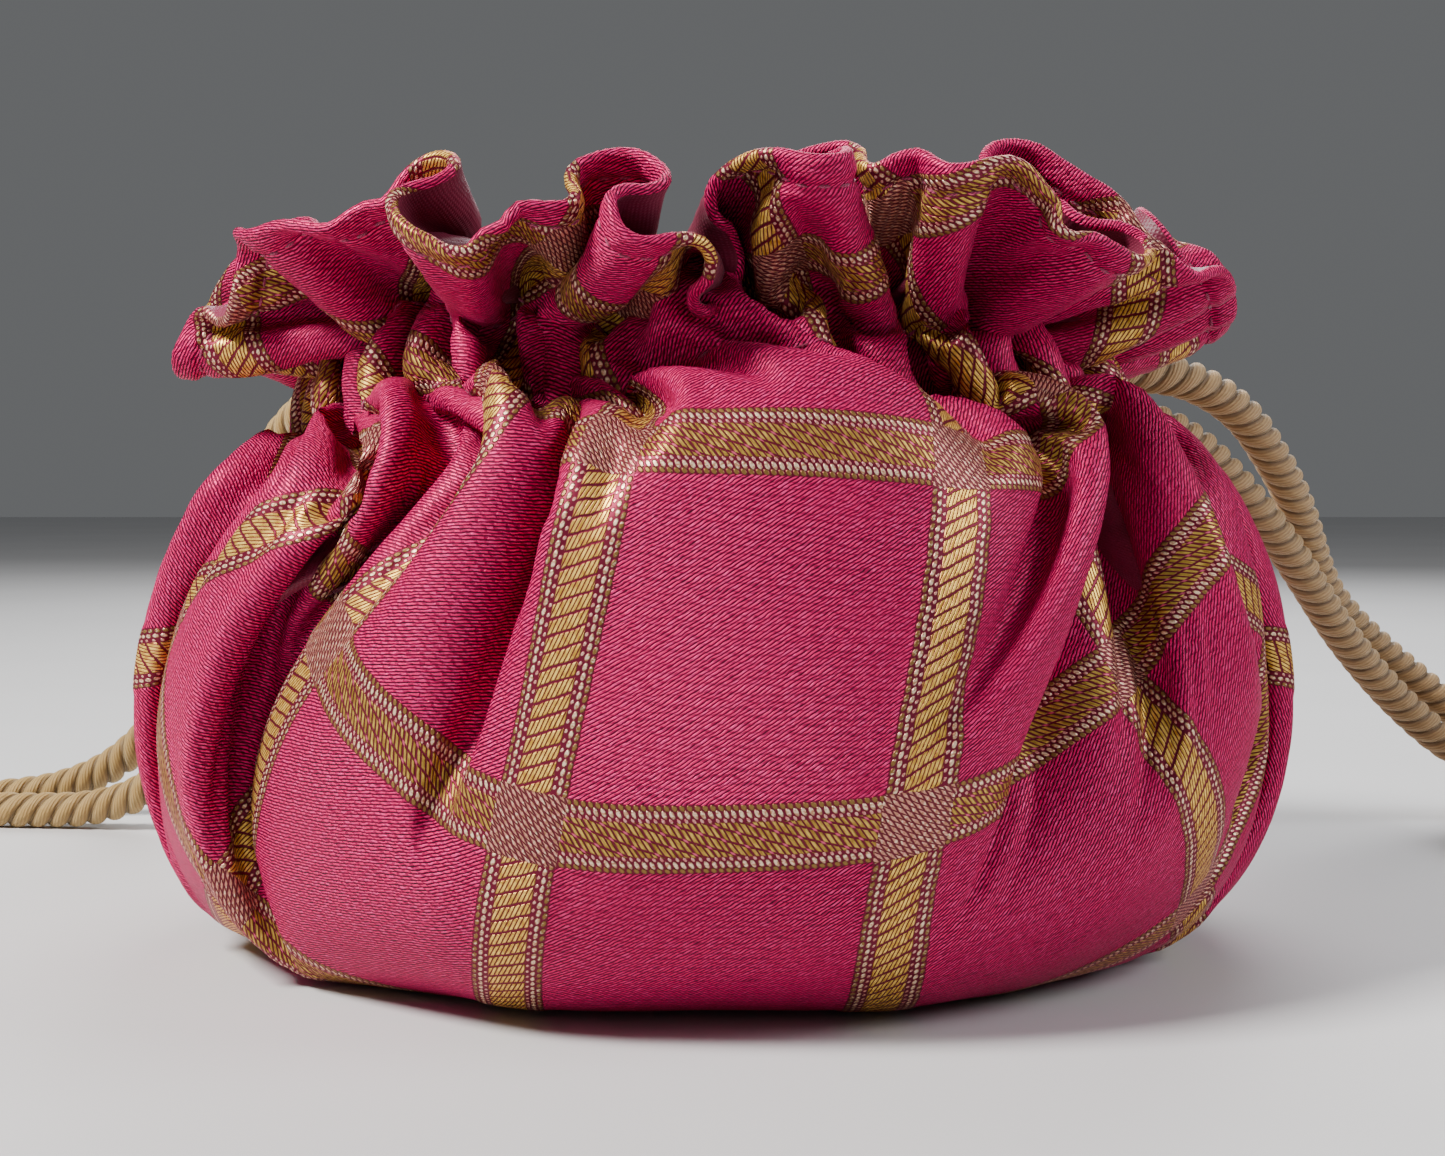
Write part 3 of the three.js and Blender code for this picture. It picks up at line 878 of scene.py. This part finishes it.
def guess_pull(radius, hollow):
    """How strongly each point is drawn to where the first guess put it."""
    shoulder = (radius > SHOULDER_START) & (radius < LOWER_STITCH)
    ruffle = radius > UPPER_STITCH + 2
    pull = np.where(ruffle, PULL["ruffle"], PULL["body"])
    pull = np.where(shoulder, PULL["shoulder"], pull)
    pull = np.where(in_channel(radius), PULL["channel"], pull)
    return pull[:, None] + (PULL["hollow"] * hollow)[:, None]


def sinking(radius):
    """How far each point sinks in a step; the stitched channel holds itself up."""
    ruffle = radius > UPPER_STITCH + 2
    return np.where(ruffle, SINK["ruffle"], SINK["body"]) * ~in_channel(radius)


def relaxed(rings):
    """Lets the pleated cloth settle: it keeps its flat lengths, fills out, and stays clear of itself."""
    flat = np.stack([np.outer(rho, np.sin(phi)), -np.outer(rho, np.cos(phi))], -1).reshape(-1, 2)
    links = cloth_links(flat)
    points, target = rings.reshape(-1, 3).copy(), rings.reshape(-1, 3)
    radius = np.repeat(rho, COLUMNS)
    free = (radius >= BASE_HELD).astype(float)
    body = (radius < LOWER_STITCH - 4) & (radius > BASE_HELD + 2)
    near_cord = (radius > NEAR_CORD[0]) & (radius < NEAR_CORD[1])
    hollow = np.clip(hollow_weight().ravel() / 6, 0, 1)
    pull = guess_pull(radius, hollow)
    sink = sinking(radius)
    push = (body * PRESSURE * free * (1 - hollow))[:, None]
    before = points.copy()
    pairs = np.zeros((0, 2), int)
    for step in range(STEPS):
        hold = 1.0 if step < STEPS * .6 else .25
        drift = np.clip(points - before, -MOST_DRIFT, MOST_DRIFT)
        before = points.copy()
        points += drift * MOMENTUM * (free > 0)[:, None]
        points += push * grid_normals(points.reshape(rings.shape)).reshape(-1, 3)
        points[:, 2] -= sink * free
        points += pull * hold * (target - points) * (free > 0)[:, None]
        for _ in range(2):
            for one in links:
                hold_lengths(points, free, one)
        if step % 4 == 0:
            pairs = crowded_pairs(points, flat)
        push_apart(points, free, pairs, LAYER_GAP)
        points[:, 2] = np.maximum(points[:, 2], TABLE_CLEAR)
        push_off_cords(points, near_cord)
        push_off_rings(points, near_cord)
    return points.reshape(rings.shape)


def refine(grid, rows_at):
    """Twice the columns, and rows at the given flat radii, by smooth curves through the points."""
    a, b, c, d = np.roll(grid, 1, 1), grid, np.roll(grid, -1, 1), np.roll(grid, -2, 1)
    between = (-a + 9 * b + 9 * c - d) / 16
    wide = np.stack([grid, between], 2).reshape(grid.shape[0], -1, grid.shape[2])
    padded = np.concatenate([2 * wide[:1] - wide[1:2], wide, 2 * wide[-1:] - wide[-2:-1]])
    place = (np.asarray(rows_at) - FLAT_INNER) / (RIM - FLAT_INNER) * (ROWS - 1)
    k = np.clip(place.astype(int), 0, ROWS - 2)
    t = (place - k)[:, None, None]
    p0, p1, p2, p3 = padded[k], padded[k + 1], padded[k + 2], padded[k + 3]
    return 0.5 * (2 * p1 + (p2 - p0) * t + (2 * p0 - 5 * p1 + 4 * p2 - p3) * t**2
                  + (3 * p1 - p0 - 3 * p2 + p3) * t**3)


cloth = relaxed(pleated_rings())

# Rows of the fine sheet: even, then closer together through the turned hem
HEM_START = 178.0
FINE_STEP = 1.2
HEM_STEP = 0.5
fine_rho = np.r_[
    np.arange(FLAT_INNER, HEM_START, FINE_STEP),
    np.arange(HEM_START, RIM, HEM_STEP),
    RIM,
]
fine_phi = np.stack([phi, phi + TAU / COLUMNS / 2], 1).ravel()
FINE_COLUMNS = 2 * COLUMNS
sheet = refine(cloth, fine_rho)
outward = grid_normals(sheet)

# ---------------------------------------------------------------- woven pattern

BAND_REPEAT_X = 39.0
BAND_REPEAT_Y = 41.0
BAND_HALF = 3.85
BAND_X = -20.0
BAND_Y = -84.5
BAND_RELIEF = 0.22
STITCH_RHO = 181.0
STITCHES_ROUND = 210
GROOVE_DEPTH = 0.35
HEM_RISE = 0.3
HEM_THICKNESS = 0.9


def band_distance(across, first, repeat):
    """Distance from the middle of the nearest gold band, in flat millimetres."""
    return np.abs(np.mod(across - first + repeat / 2, repeat) - repeat / 2)


def flat_place(radii):
    """Place on the flat cloth and flat radius of rings of the fine sheet."""
    return np.stack([np.outer(radii, np.sin(fine_phi)), -np.outer(radii, np.cos(fine_phi)),
                     np.broadcast_to(np.asarray(radii)[:, None], (len(radii), FINE_COLUMNS))], -1)


def cloth_surface():
    """The brocade's outer face: the sheet with raised bands, the topstitch's groove and a thicker hem."""
    nearest_band = np.minimum(band_distance(flat_xy[..., 0], BAND_X, BAND_REPEAT_X),
                              band_distance(flat_xy[..., 1], BAND_Y, BAND_REPEAT_Y))
    relief = BAND_RELIEF * smoothstep(BAND_HALF + .7, BAND_HALF - .7, nearest_band)
    groove = -GROOVE_DEPTH * np.exp(-((fine_rho - STITCH_RHO) / .7) ** 2)
    dimples = 1 + .35 * np.sin(fine_phi[None, :] * STITCHES_ROUND)
    hem = HEM_RISE * smoothstep(STITCH_RHO, STITCH_RHO + 1.2, fine_rho)
    return sheet + outward * (relief + groove[:, None] * dimples + hem[:, None])[..., None]


flat_xy = flat_place(fine_rho)
surface = cloth_surface()

# Colours of the brocade
# The ground's near-black is partly the weave's own gaps and partly painted shade in the grooves between
# ribs.
GROUND_GAP_AND_SHADE = (.030, .0001, .009)
GROUND_LIGHT = (.82, .004, .145)
# Painted highlight on the satin ribs.
GROUND_PAINTED_HIGHLIGHT = (1.0, .055, .30)
GROUND_DULL = (.40, .002, .070)
CREAM_DARK = (.50, .25, .13)
CREAM_LIGHT = (.92, .70, .48)
OLIVE = (.235, .135, .040)
MAROON = (.135, .010, .028)
PINK = (.62, .10, .19)
BROWN_DARK = (.29, .165, .024)
# The brown floats' bright colour is their painted glint.
BROWN_PAINTED_GLINT = (.72, .49, .10)
GOLD_DARK = (.54, .29, .036)
# The gold floats' bright colour is a painted highlight.
GOLD_PAINTED_HIGHLIGHT = (1.0, .68, .15)
CROSSING_DARK = (.125, .018, .030)
CROSSING_TAUPE = (.34, .17, .08)
CROSSING_PINK = (.62, .27, .20)
CROSSING_CREAM = (.90, .68, .46)
# The floats along a band's edges: how far from its middle, half length, half width
LEVEL_EDGE = {"big": (2.74, .27, .47), "small": (2.08, .2, .26), "outer": (3.42, .3, .34)}
UPRIGHT_EDGE = {"big": (2.76, .43, .27), "small": (2.2, .24, .2), "outer": (3.4, .42, .27)}


def from_band(w, across, first, repeat):
    """Distance from the middle of the nearest band, below 0 on one side."""
    shifted = w.add(across, repeat * 8.5 - first)
    return w.sub(w.math("MODULO", shifted, repeat), repeat / 2)


def floats(w, along, across, size, pitch, shift, slant):
    """A row of oval floats along a band; slant moves each with its place across the band."""
    middle, half_along, half_across = size
    place = w.mul(w.add(along, w.mul(across, slant)), 1 / pitch)
    u = w.math("FRACT", w.add(place, shift + 80.0))
    u = w.mul(w.sub(u, .5), pitch / half_along)
    v = w.mul(w.sub(w.math("ABSOLUTE", across), middle), 1 / half_across)
    return w.ramp(w.add(w.mul(u, u), w.mul(v, v)), 1.15, .35)


def with_edges(w, color, body, rows, outer_color, small_color, cream):
    """A band with its three rows of floats along each edge: colour and height."""
    big, small, outer = rows
    color = w.mix(outer, color, outer_color)
    color = w.mix(small, color, small_color)
    color = w.mix(big, color, cream)
    return color, w.most(w.most(body, big), w.mul(w.most(small, outer), .7))


def satin_ground(w, x, up, wobble, cloudy):
    """Short satin floats in ribs that rise to the right, with painted shade and highlights: colour and
    height.
    """
    rib_at = w.add(w.mul(x, -1.56), w.mul(up, 2.14), w.mul(wobble, .9))
    along_rib = w.add(w.mul(x, .80), w.mul(up, .59))
    float_end = w.wave(w.add(w.mul(along_rib, .82), w.mul(rib_at, .38), w.mul(wobble, 1.3)))
    ends = w.add(.45, w.mul(w.ramp(float_end, .04, .4), .55))
    tone = w.mul(w.ramp(w.wave(rib_at), .05, .75), ends)
    uneven = w.noise(w.vector(rib_at, w.mul(along_rib, .9)), 1.0, 2.0)
    # Between the ribs the colour falls to near-black: partly the weave's gaps, partly painted shade in the
    # grooves.
    color = w.mix(tone, GROUND_GAP_AND_SHADE, GROUND_LIGHT)
    # Painted highlights: noise picks patches of the ribs and brightens them towards pale pink.
    color = w.mix(w.mul(tone, w.ramp(uneven, .46, .68), .7), color, GROUND_PAINTED_HIGHLIGHT)
    color = w.mix(w.mul(w.ramp(cloudy, .4, .75), .3), color, GROUND_DULL)
    return color, w.mul(tone, .6)


def level_band(w, x, ay, cream):
    """Brown-gold floats that fall to the right, in groups, with pink specks between: colour and height."""
    group = w.add(x, w.mul(ay, .77))
    seam = w.ramp(w.wave(w.mul(group, 1 / 1.86)), .0, .16)
    cut = w.ramp(w.wave(w.add(w.mul(ay, 1 / 1.5), w.mul(group, .27))), .02, .2)
    inside = w.ramp(w.math("ABSOLUTE", ay), 1.95, 1.75)
    body = w.mul(w.ramp(w.wave(w.mul(group, 1 / .62)), .02, .5), seam, cut, inside)
    # Painted glints: noise lightens some floats from brown towards bright gold.
    painted_glint = w.noise(w.vector(w.mul(group, 2.2), w.mul(ay, .8)), 1.0, 2.0)
    color = w.mix(body, MAROON, w.mix(w.ramp(painted_glint, .3, .75), BROWN_DARK, BROWN_PAINTED_GLINT))
    color = w.mix(w.mul(w.sub(1.0, seam), w.sub(1.0, cut), inside), color, PINK)
    rows = (floats(w, x, ay, LEVEL_EDGE["big"], .76, 0.0, .5),
            floats(w, x, ay, LEVEL_EDGE["small"], .76, .45, .5),
            floats(w, x, ay, LEVEL_EDGE["outer"], .76, .4, .5))
    return with_edges(w, color, body, rows, OLIVE, w.mix(.5, cream, PINK), cream)


def upright_band(w, up, ax, wobble, spark, cream):
    """Bright gold floats in clusters split by slanting dark lines: colour and height."""
    step = w.add(w.mul(up, 1 / 1.72), w.mul(ax, -.30), w.mul(wobble, .25))
    split = w.ramp(w.wave(step), .02, .2)
    strand = w.wave(w.add(w.mul(ax, 1 / .44), w.mul(up, -.62)))
    inside = w.ramp(w.math("ABSOLUTE", ax), 1.98, 1.8)
    gold = w.mul(w.ramp(strand, .0, .45), split, inside)
    # Painted highlights: noise lightens some floats from gold towards bright gold.
    painted_shine = w.noise(w.vector(w.mul(ax, 1.9), w.mul(up, .9)), 1.0, 2.0)
    color = w.mix(gold, MAROON, w.mix(w.ramp(painted_shine, .28, .7), GOLD_DARK, GOLD_PAINTED_HIGHLIGHT))
    rows = (floats(w, up, ax, UPRIGHT_EDGE["big"], .98, 0.0, -.4),
            floats(w, up, ax, UPRIGHT_EDGE["small"], .98, .5, -.4),
            floats(w, up, ax, UPRIGHT_EDGE["outer"], .98, .5, -.4))
    outer_color = w.mix(w.ramp(spark, .5, .8), OLIVE, cream)
    return with_edges(w, color, gold, rows, outer_color, w.mix(.4, cream, PINK), cream)


def crossing_twill(w, ax, ay, wobble):
    """Slanting floats of taupe, pink and cream where two bands cross: colour and height."""
    lean = w.add(ax, w.mul(ay, .7))
    twill = w.ramp(w.wave(w.add(w.mul(lean, 1 / .62), w.mul(wobble, .5))), .05, .6)
    twill = w.mul(twill, w.ramp(w.wave(w.add(w.mul(ay, 1 / .92), w.mul(lean, .95))), .02, .35))
    speck = w.noise(w.vector(w.mul(ax, 2.3), w.mul(ay, 1.5)), 1.0, 2.0)
    tint = w.mix(w.ramp(speck, .3, .5), CROSSING_TAUPE, CROSSING_PINK)
    tint = w.mix(w.ramp(speck, .52, .66), tint, CROSSING_CREAM)
    return w.mix(twill, CROSSING_DARK, tint), w.mul(twill, .7)


def brocade_material():
    """Magenta satin with a gold windowpane, drawn on the flat cloth in millimetres."""
    w = Weave("brocade")
    flat, x, y, _ = w.attribute("flat")
    up = w.mul(y, -1.0)
    ax = from_band(w, x, BAND_X, BAND_REPEAT_X)
    ay = w.mul(from_band(w, y, BAND_Y, BAND_REPEAT_Y), -1.0)
    fray = w.mul(w.noise(flat, 1.6, 1.0), .3)
    in_x = w.ramp(w.add(w.math("ABSOLUTE", ax), fray), BAND_HALF + .12, BAND_HALF)
    in_y = w.ramp(w.add(w.math("ABSOLUTE", ay), fray), BAND_HALF + .12, BAND_HALF)
    wobble = w.noise(flat, .8, 2.0)
    cloudy = w.noise(flat, .05, 3.0)
    spark = w.noise(flat, 2.6, 1.0)
    cream = w.mix(w.ramp(spark, .34, .62), CREAM_DARK, CREAM_LIGHT)
    color, height = satin_ground(w, x, up, wobble, cloudy)
    layers = ((in_y, level_band(w, x, ay, cream)),
              (in_x, upright_band(w, up, ax, wobble, spark, cream)),
              (w.mul(in_x, in_y), crossing_twill(w, ax, ay, wobble)))
    for place, (layer_color, layer_height) in layers:
        color = w.mix(place, color, layer_color)
        height = w.add(height, w.mul(place, w.sub(layer_height, height)))
    in_band = w.most(in_x, in_y)
    w.put(w.shader.inputs["Metallic"], w.add(.3, w.mul(in_band, .25)))
    w.shader.inputs["Specular Tint"].default_value = (1.0, .4, .5, 1)
    w.shader.inputs["Specular IOR Level"].default_value = .35
    roughness = w.add(.45, w.mul(in_band, -.07), w.mul(cloudy, .08))
    return w.finish(color, roughness, w.bump(height, .00022, 1.0), .03, .35, (1.0, .35, .5))


def lining_material():
    """Plain satin lining with a faint weave and soft creases."""
    w = Weave("lining")
    flat, x, y, _ = w.attribute("flat")
    threads = w.mul(w.wave(w.mul(x, 2.4)), w.wave(w.mul(y, 2.4)))
    cloudy = w.noise(flat, .08, 3.0)
    creases = w.noise(w.vector(w.mul(x, .9), w.mul(y, .25)), .6, 3.0)
    color = w.mix(w.ramp(cloudy, .3, .7), (.11, .004, .022), (.20, .010, .045))
    color = w.mix(w.mul(threads, .25), color, (.28, .022, .07))
    return w.finish(color, .5, w.bump(w.add(w.mul(threads, .3), creases), .00022, .7), .1, .4, (1, .6, .7))


def thread_material(name, light, dark):
    w = Weave(name)
    _, across, along, _ = w.attribute("yarn")
    twist = w.wave(w.add(w.mul(along, 2.2), w.mul(across, .5)))
    color = w.mix(w.ramp(twist, .1, .7), dark, light)
    return w.finish(color, .5, w.bump(twist, .00006, .8), .2, .4)


brocade = brocade_material()
lining_cloth = lining_material()
hem_thread = thread_material("magenta_thread", (.42, .03, .12), (.17, .006, .04))
exit_thread = thread_material("pale_thread", (.62, .44, .36), (.34, .18, .15))

# ---------------------------------------------------------------- outer cloth


def disc_rows(radii, height):
    """Rings of the flat base, inside the gathered sheet."""
    rings = flat_place(radii)
    rings[..., 2] = height
    return rings


def open_exits(points, faces):
    """The faces without those in the slits that the drawstrings leave by."""
    middle = points[np.array(faces)].mean(1)
    cut = np.zeros(len(faces), bool)
    for beside, away in beside_exits(middle, 45, 66):
        cut |= beside & (np.linalg.norm(away, axis=1) < CORD_DIAMETER / 2)
    return [face for face, gone in zip(faces, cut) if not gone]


def close_centre(points, faces, extra, height):
    """Adds a fan that closes the first ring."""
    middle = len(points)
    points = np.vstack([points, (0, 0, height)])
    extra = np.vstack([extra, (0, 0, 0)])
    faces = faces + [((i + 1) % FINE_COLUMNS, i, middle) for i in range(FINE_COLUMNS)]
    return points, faces, extra


def rolled_edge():
    """Rows that turn the rim over from the outer face to the lining."""
    edge, normal = surface[-1], outward[-1]
    up = sheet[-1] - sheet[-3]
    up /= np.linalg.norm(up, axis=1, keepdims=True)
    half = HEM_THICKNESS / 2 + .25
    turn = [math.radians(a) for a in (30, 60, 90, 120, 150, 180)]
    return np.stack([edge + half * (math.sin(a) * up - (1 - math.cos(a)) * normal) for a in turn])


BASE_RINGS = (4.0, 10.0, 18.0, 27.0)


def make_outer_cloth():
    base = disc_rows(BASE_RINGS, TABLE_CLEAR)
    edge = rolled_edge()
    grid = np.concatenate([base, surface, edge])
    edge_flat = flat_place([RIM + .4 * (k + 1) for k in range(len(edge))])
    extra = np.concatenate([flat_place(BASE_RINGS), flat_xy, edge_flat]).reshape(-1, 3)
    points = grid.reshape(-1, 3)
    points[:, 2] = np.maximum(points[:, 2], 0.12)
    faces = open_exits(points, grid_faces(len(grid), FINE_COLUMNS))
    points, faces, extra = close_centre(points, faces, extra, TABLE_CLEAR)
    outer = mesh_object("gathered_brocade", points, faces, brocade, {"flat": extra})
    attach(outer, "bag")
    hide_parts("outer_cloth")
    return outer


LINING_OFFSET = 0.75
LINING_LIFT = 0.8
LINING_BELOW = 3.0
LINING_INSIDE = 1.6
# The lining's way past the drawstrings, inside them: flat radius, radius, height
FUNNEL = [
    (104, 70, 41), (112, 67.5, 49), (120, 63, 56), (127, 57.5, 61), (134, 51, 63), (138, 46.5, 63),
    (143, 40.5, 62.6), (147, 36.5, 63.6), (150, 34.2, 67), (154, 33.8, 71.5), (159, 34.5, 76),
    (164, 39, 80.5), (169, 46, 84), (174, 51, 87), (184, 60, 92),
]
# The flat radii over which the lining leaves the brocade, and those over which it joins it again
LINING_LEAVES = (106, 124)
LINING_JOINS = (161, 170)
UNDER_SHOULDER = 140


def funnel_rings(grid, radii):
    """Where the lining would lie if it hung inside the drawstrings all the way."""
    funnel = np.array(FUNNEL)
    within = np.clip(radii, FUNNEL[0][0], FUNNEL[-1][0])
    f_r, f_z = (spline(funnel[:, 0], funnel[:, k], within)[:, None] for k in (1, 2))
    out = np.hypot(grid[..., 0], grid[..., 1])
    pleat = np.clip((out - 48) / 7, -1, 1) * 1.3
    nearby = np.min([np.roll(out, k, 1) for k in range(-8, 9, 2)], axis=0)
    inner = np.minimum(f_r + pleat, nearby - LINING_INSIDE)
    ceiling = grid[..., 2] - LINING_BELOW + 30 * (radii[:, None] > UNDER_SHOULDER)
    return np.stack([grid[..., 0] / out * inner, grid[..., 1] / out * inner, np.minimum(f_z, ceiling)], -1)


def make_lining():
    radii = np.arange(FLAT_INNER, RIM + .01, FINE_STEP)
    grid = refine(cloth, radii)
    grid = grid - grid_normals(grid) * LINING_OFFSET
    apart = smoothstep(*LINING_LEAVES, radii) * (1 - smoothstep(*LINING_JOINS, radii))
    grid = grid + apart[:, None, None] * (funnel_rings(grid, radii) - grid)
    grid[-1] = rolled_edge()[-1]
    grid[..., 2] = np.maximum(grid[..., 2], TABLE_CLEAR + .7)
    base = disc_rows(BASE_RINGS, TABLE_CLEAR + LINING_LIFT)
    extra = np.concatenate([flat_place(BASE_RINGS), flat_place(radii)]).reshape(-1, 3)
    grid = np.concatenate([base, grid])
    faces = grid_faces(len(grid), FINE_COLUMNS)
    points, faces, extra = close_centre(grid.reshape(-1, 3), faces, extra, TABLE_CLEAR + LINING_LIFT)
    lining = mesh_object("gathered_lining", points, faces, lining_cloth, {"flat": extra})
    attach(lining, "bag")
    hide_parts("lining_cloth")
    return lining


outer_piece = make_outer_cloth()
lining_piece = make_lining()

# ---------------------------------------------------------------- stitching


STITCH_STEP = 0.35
STITCH_SIDES = 6
STITCH_THICKNESS = 0.2
EXIT_STITCHES = 40
EXIT_STITCH_THICKNESS = 0.33
EXIT_RADIUS = 54.5
EXIT_HALF_WIDTH = 4.4
EXIT_HALF_HEIGHT = 8.0


def stitch_tube(line, radius):
    """A short round stitch along a line, thin at both ends."""
    side, up = carried_frames(line)
    count = len(line)
    swell = np.sqrt(np.clip(1 - (2 * np.arange(count) / (count - 1) - 1) ** 2, .06, 1))
    turn = np.arange(STITCH_SIDES) / STITCH_SIDES * TAU
    ray = np.cos(turn)[None, :, None] * side[:, None] + np.sin(turn)[None, :, None] * up[:, None]
    points = line[:, None] + radius * swell[:, None, None] * ray
    shape = (count, STITCH_SIDES)
    along = np.broadcast_to(run_length(line)[:, None], shape)
    yarn = np.stack([np.broadcast_to(turn, shape), along, np.zeros(shape)], -1)
    return points.reshape(-1, 3), tube_faces(*shape), yarn.reshape(-1, 3)


def make_stitch_row(name, node, flat_radius, stitch, gap, lift):
    """A row of running stitches round the bag at one flat radius."""
    row = int(np.argmin(np.abs(fine_rho - flat_radius)))
    line = surface[row] + outward[row] * lift
    line = evenly(np.vstack([line, line[:1]]), STITCH_STEP)
    each, skip = int(round(stitch / STITCH_STEP)), int(round(gap / STITCH_STEP))
    parts = []
    for first in range(0, len(line) - each, each + skip):
        parts.append(stitch_tube(line[first:first + each], STITCH_THICKNESS))
    points, faces, yarn = join_parts(parts)
    piece = mesh_object(name, points, faces, hem_thread, {"yarn": yarn})
    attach(piece, "bag")
    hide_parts(node)


def make_exit_stitches(side):
    """Buttonhole stitches round the slit that both strands of a drawstring leave by."""
    angle = SIDES[side]["exit"]
    out = np.array((math.cos(angle), math.sin(angle), 0))
    across = np.array((-math.sin(angle), math.cos(angle), 0))
    above = np.array((0, 0, 1))
    centre = along_exit(side, EXIT_RADIUS, (LOWER_LEVEL + UPPER_LEVEL) / 2)
    parts = []
    for k in range(EXIT_STITCHES):
        a = TAU * k / EXIT_STITCHES
        ray = across * math.cos(a) + above * math.sin(a)
        base = centre + across * EXIT_HALF_WIDTH * math.cos(a) + above * EXIT_HALF_HEIGHT * math.sin(a)
        over = [base - out * .9, base + out * .35 + ray * .1, base + out * .6 + ray * .8,
                base - out * .5 + ray * 1.5]
        parts.append(stitch_tube(catmull_rom(over, 3), EXIT_STITCH_THICKNESS))
    points, faces, yarn = join_parts(parts)
    piece = mesh_object(f"{side}_exit_buttonhole", points, faces, exit_thread, {"yarn": yarn})
    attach(piece, "bag")
    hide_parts(f"{side}_exit_stitching")


make_stitch_row("hem_stitches", "rim_topstitch", STITCH_RHO, 1.9, .7, .12)
make_stitch_row("channel_stitches_below", "channel_stitch_lower", LOWER_STITCH, 2.1, .7, .05)
make_stitch_row("channel_stitches_above", "channel_stitch_upper", UPPER_STITCH, 2.1, .7, .05)
for side in SIDES:
    make_exit_stitches(side)

# ---------------------------------------------------------------- floor


def make_floor():
    build = bmesh.new()
    bmesh.ops.create_grid(build, x_segments=8, y_segments=8, size=2.5)
    mesh = bpy.data.meshes.new("floor")
    build.to_mesh(mesh)
    build.free()
    mesh.materials.append(floor_material())
    floor = add_object("floor", mesh)


make_floor()
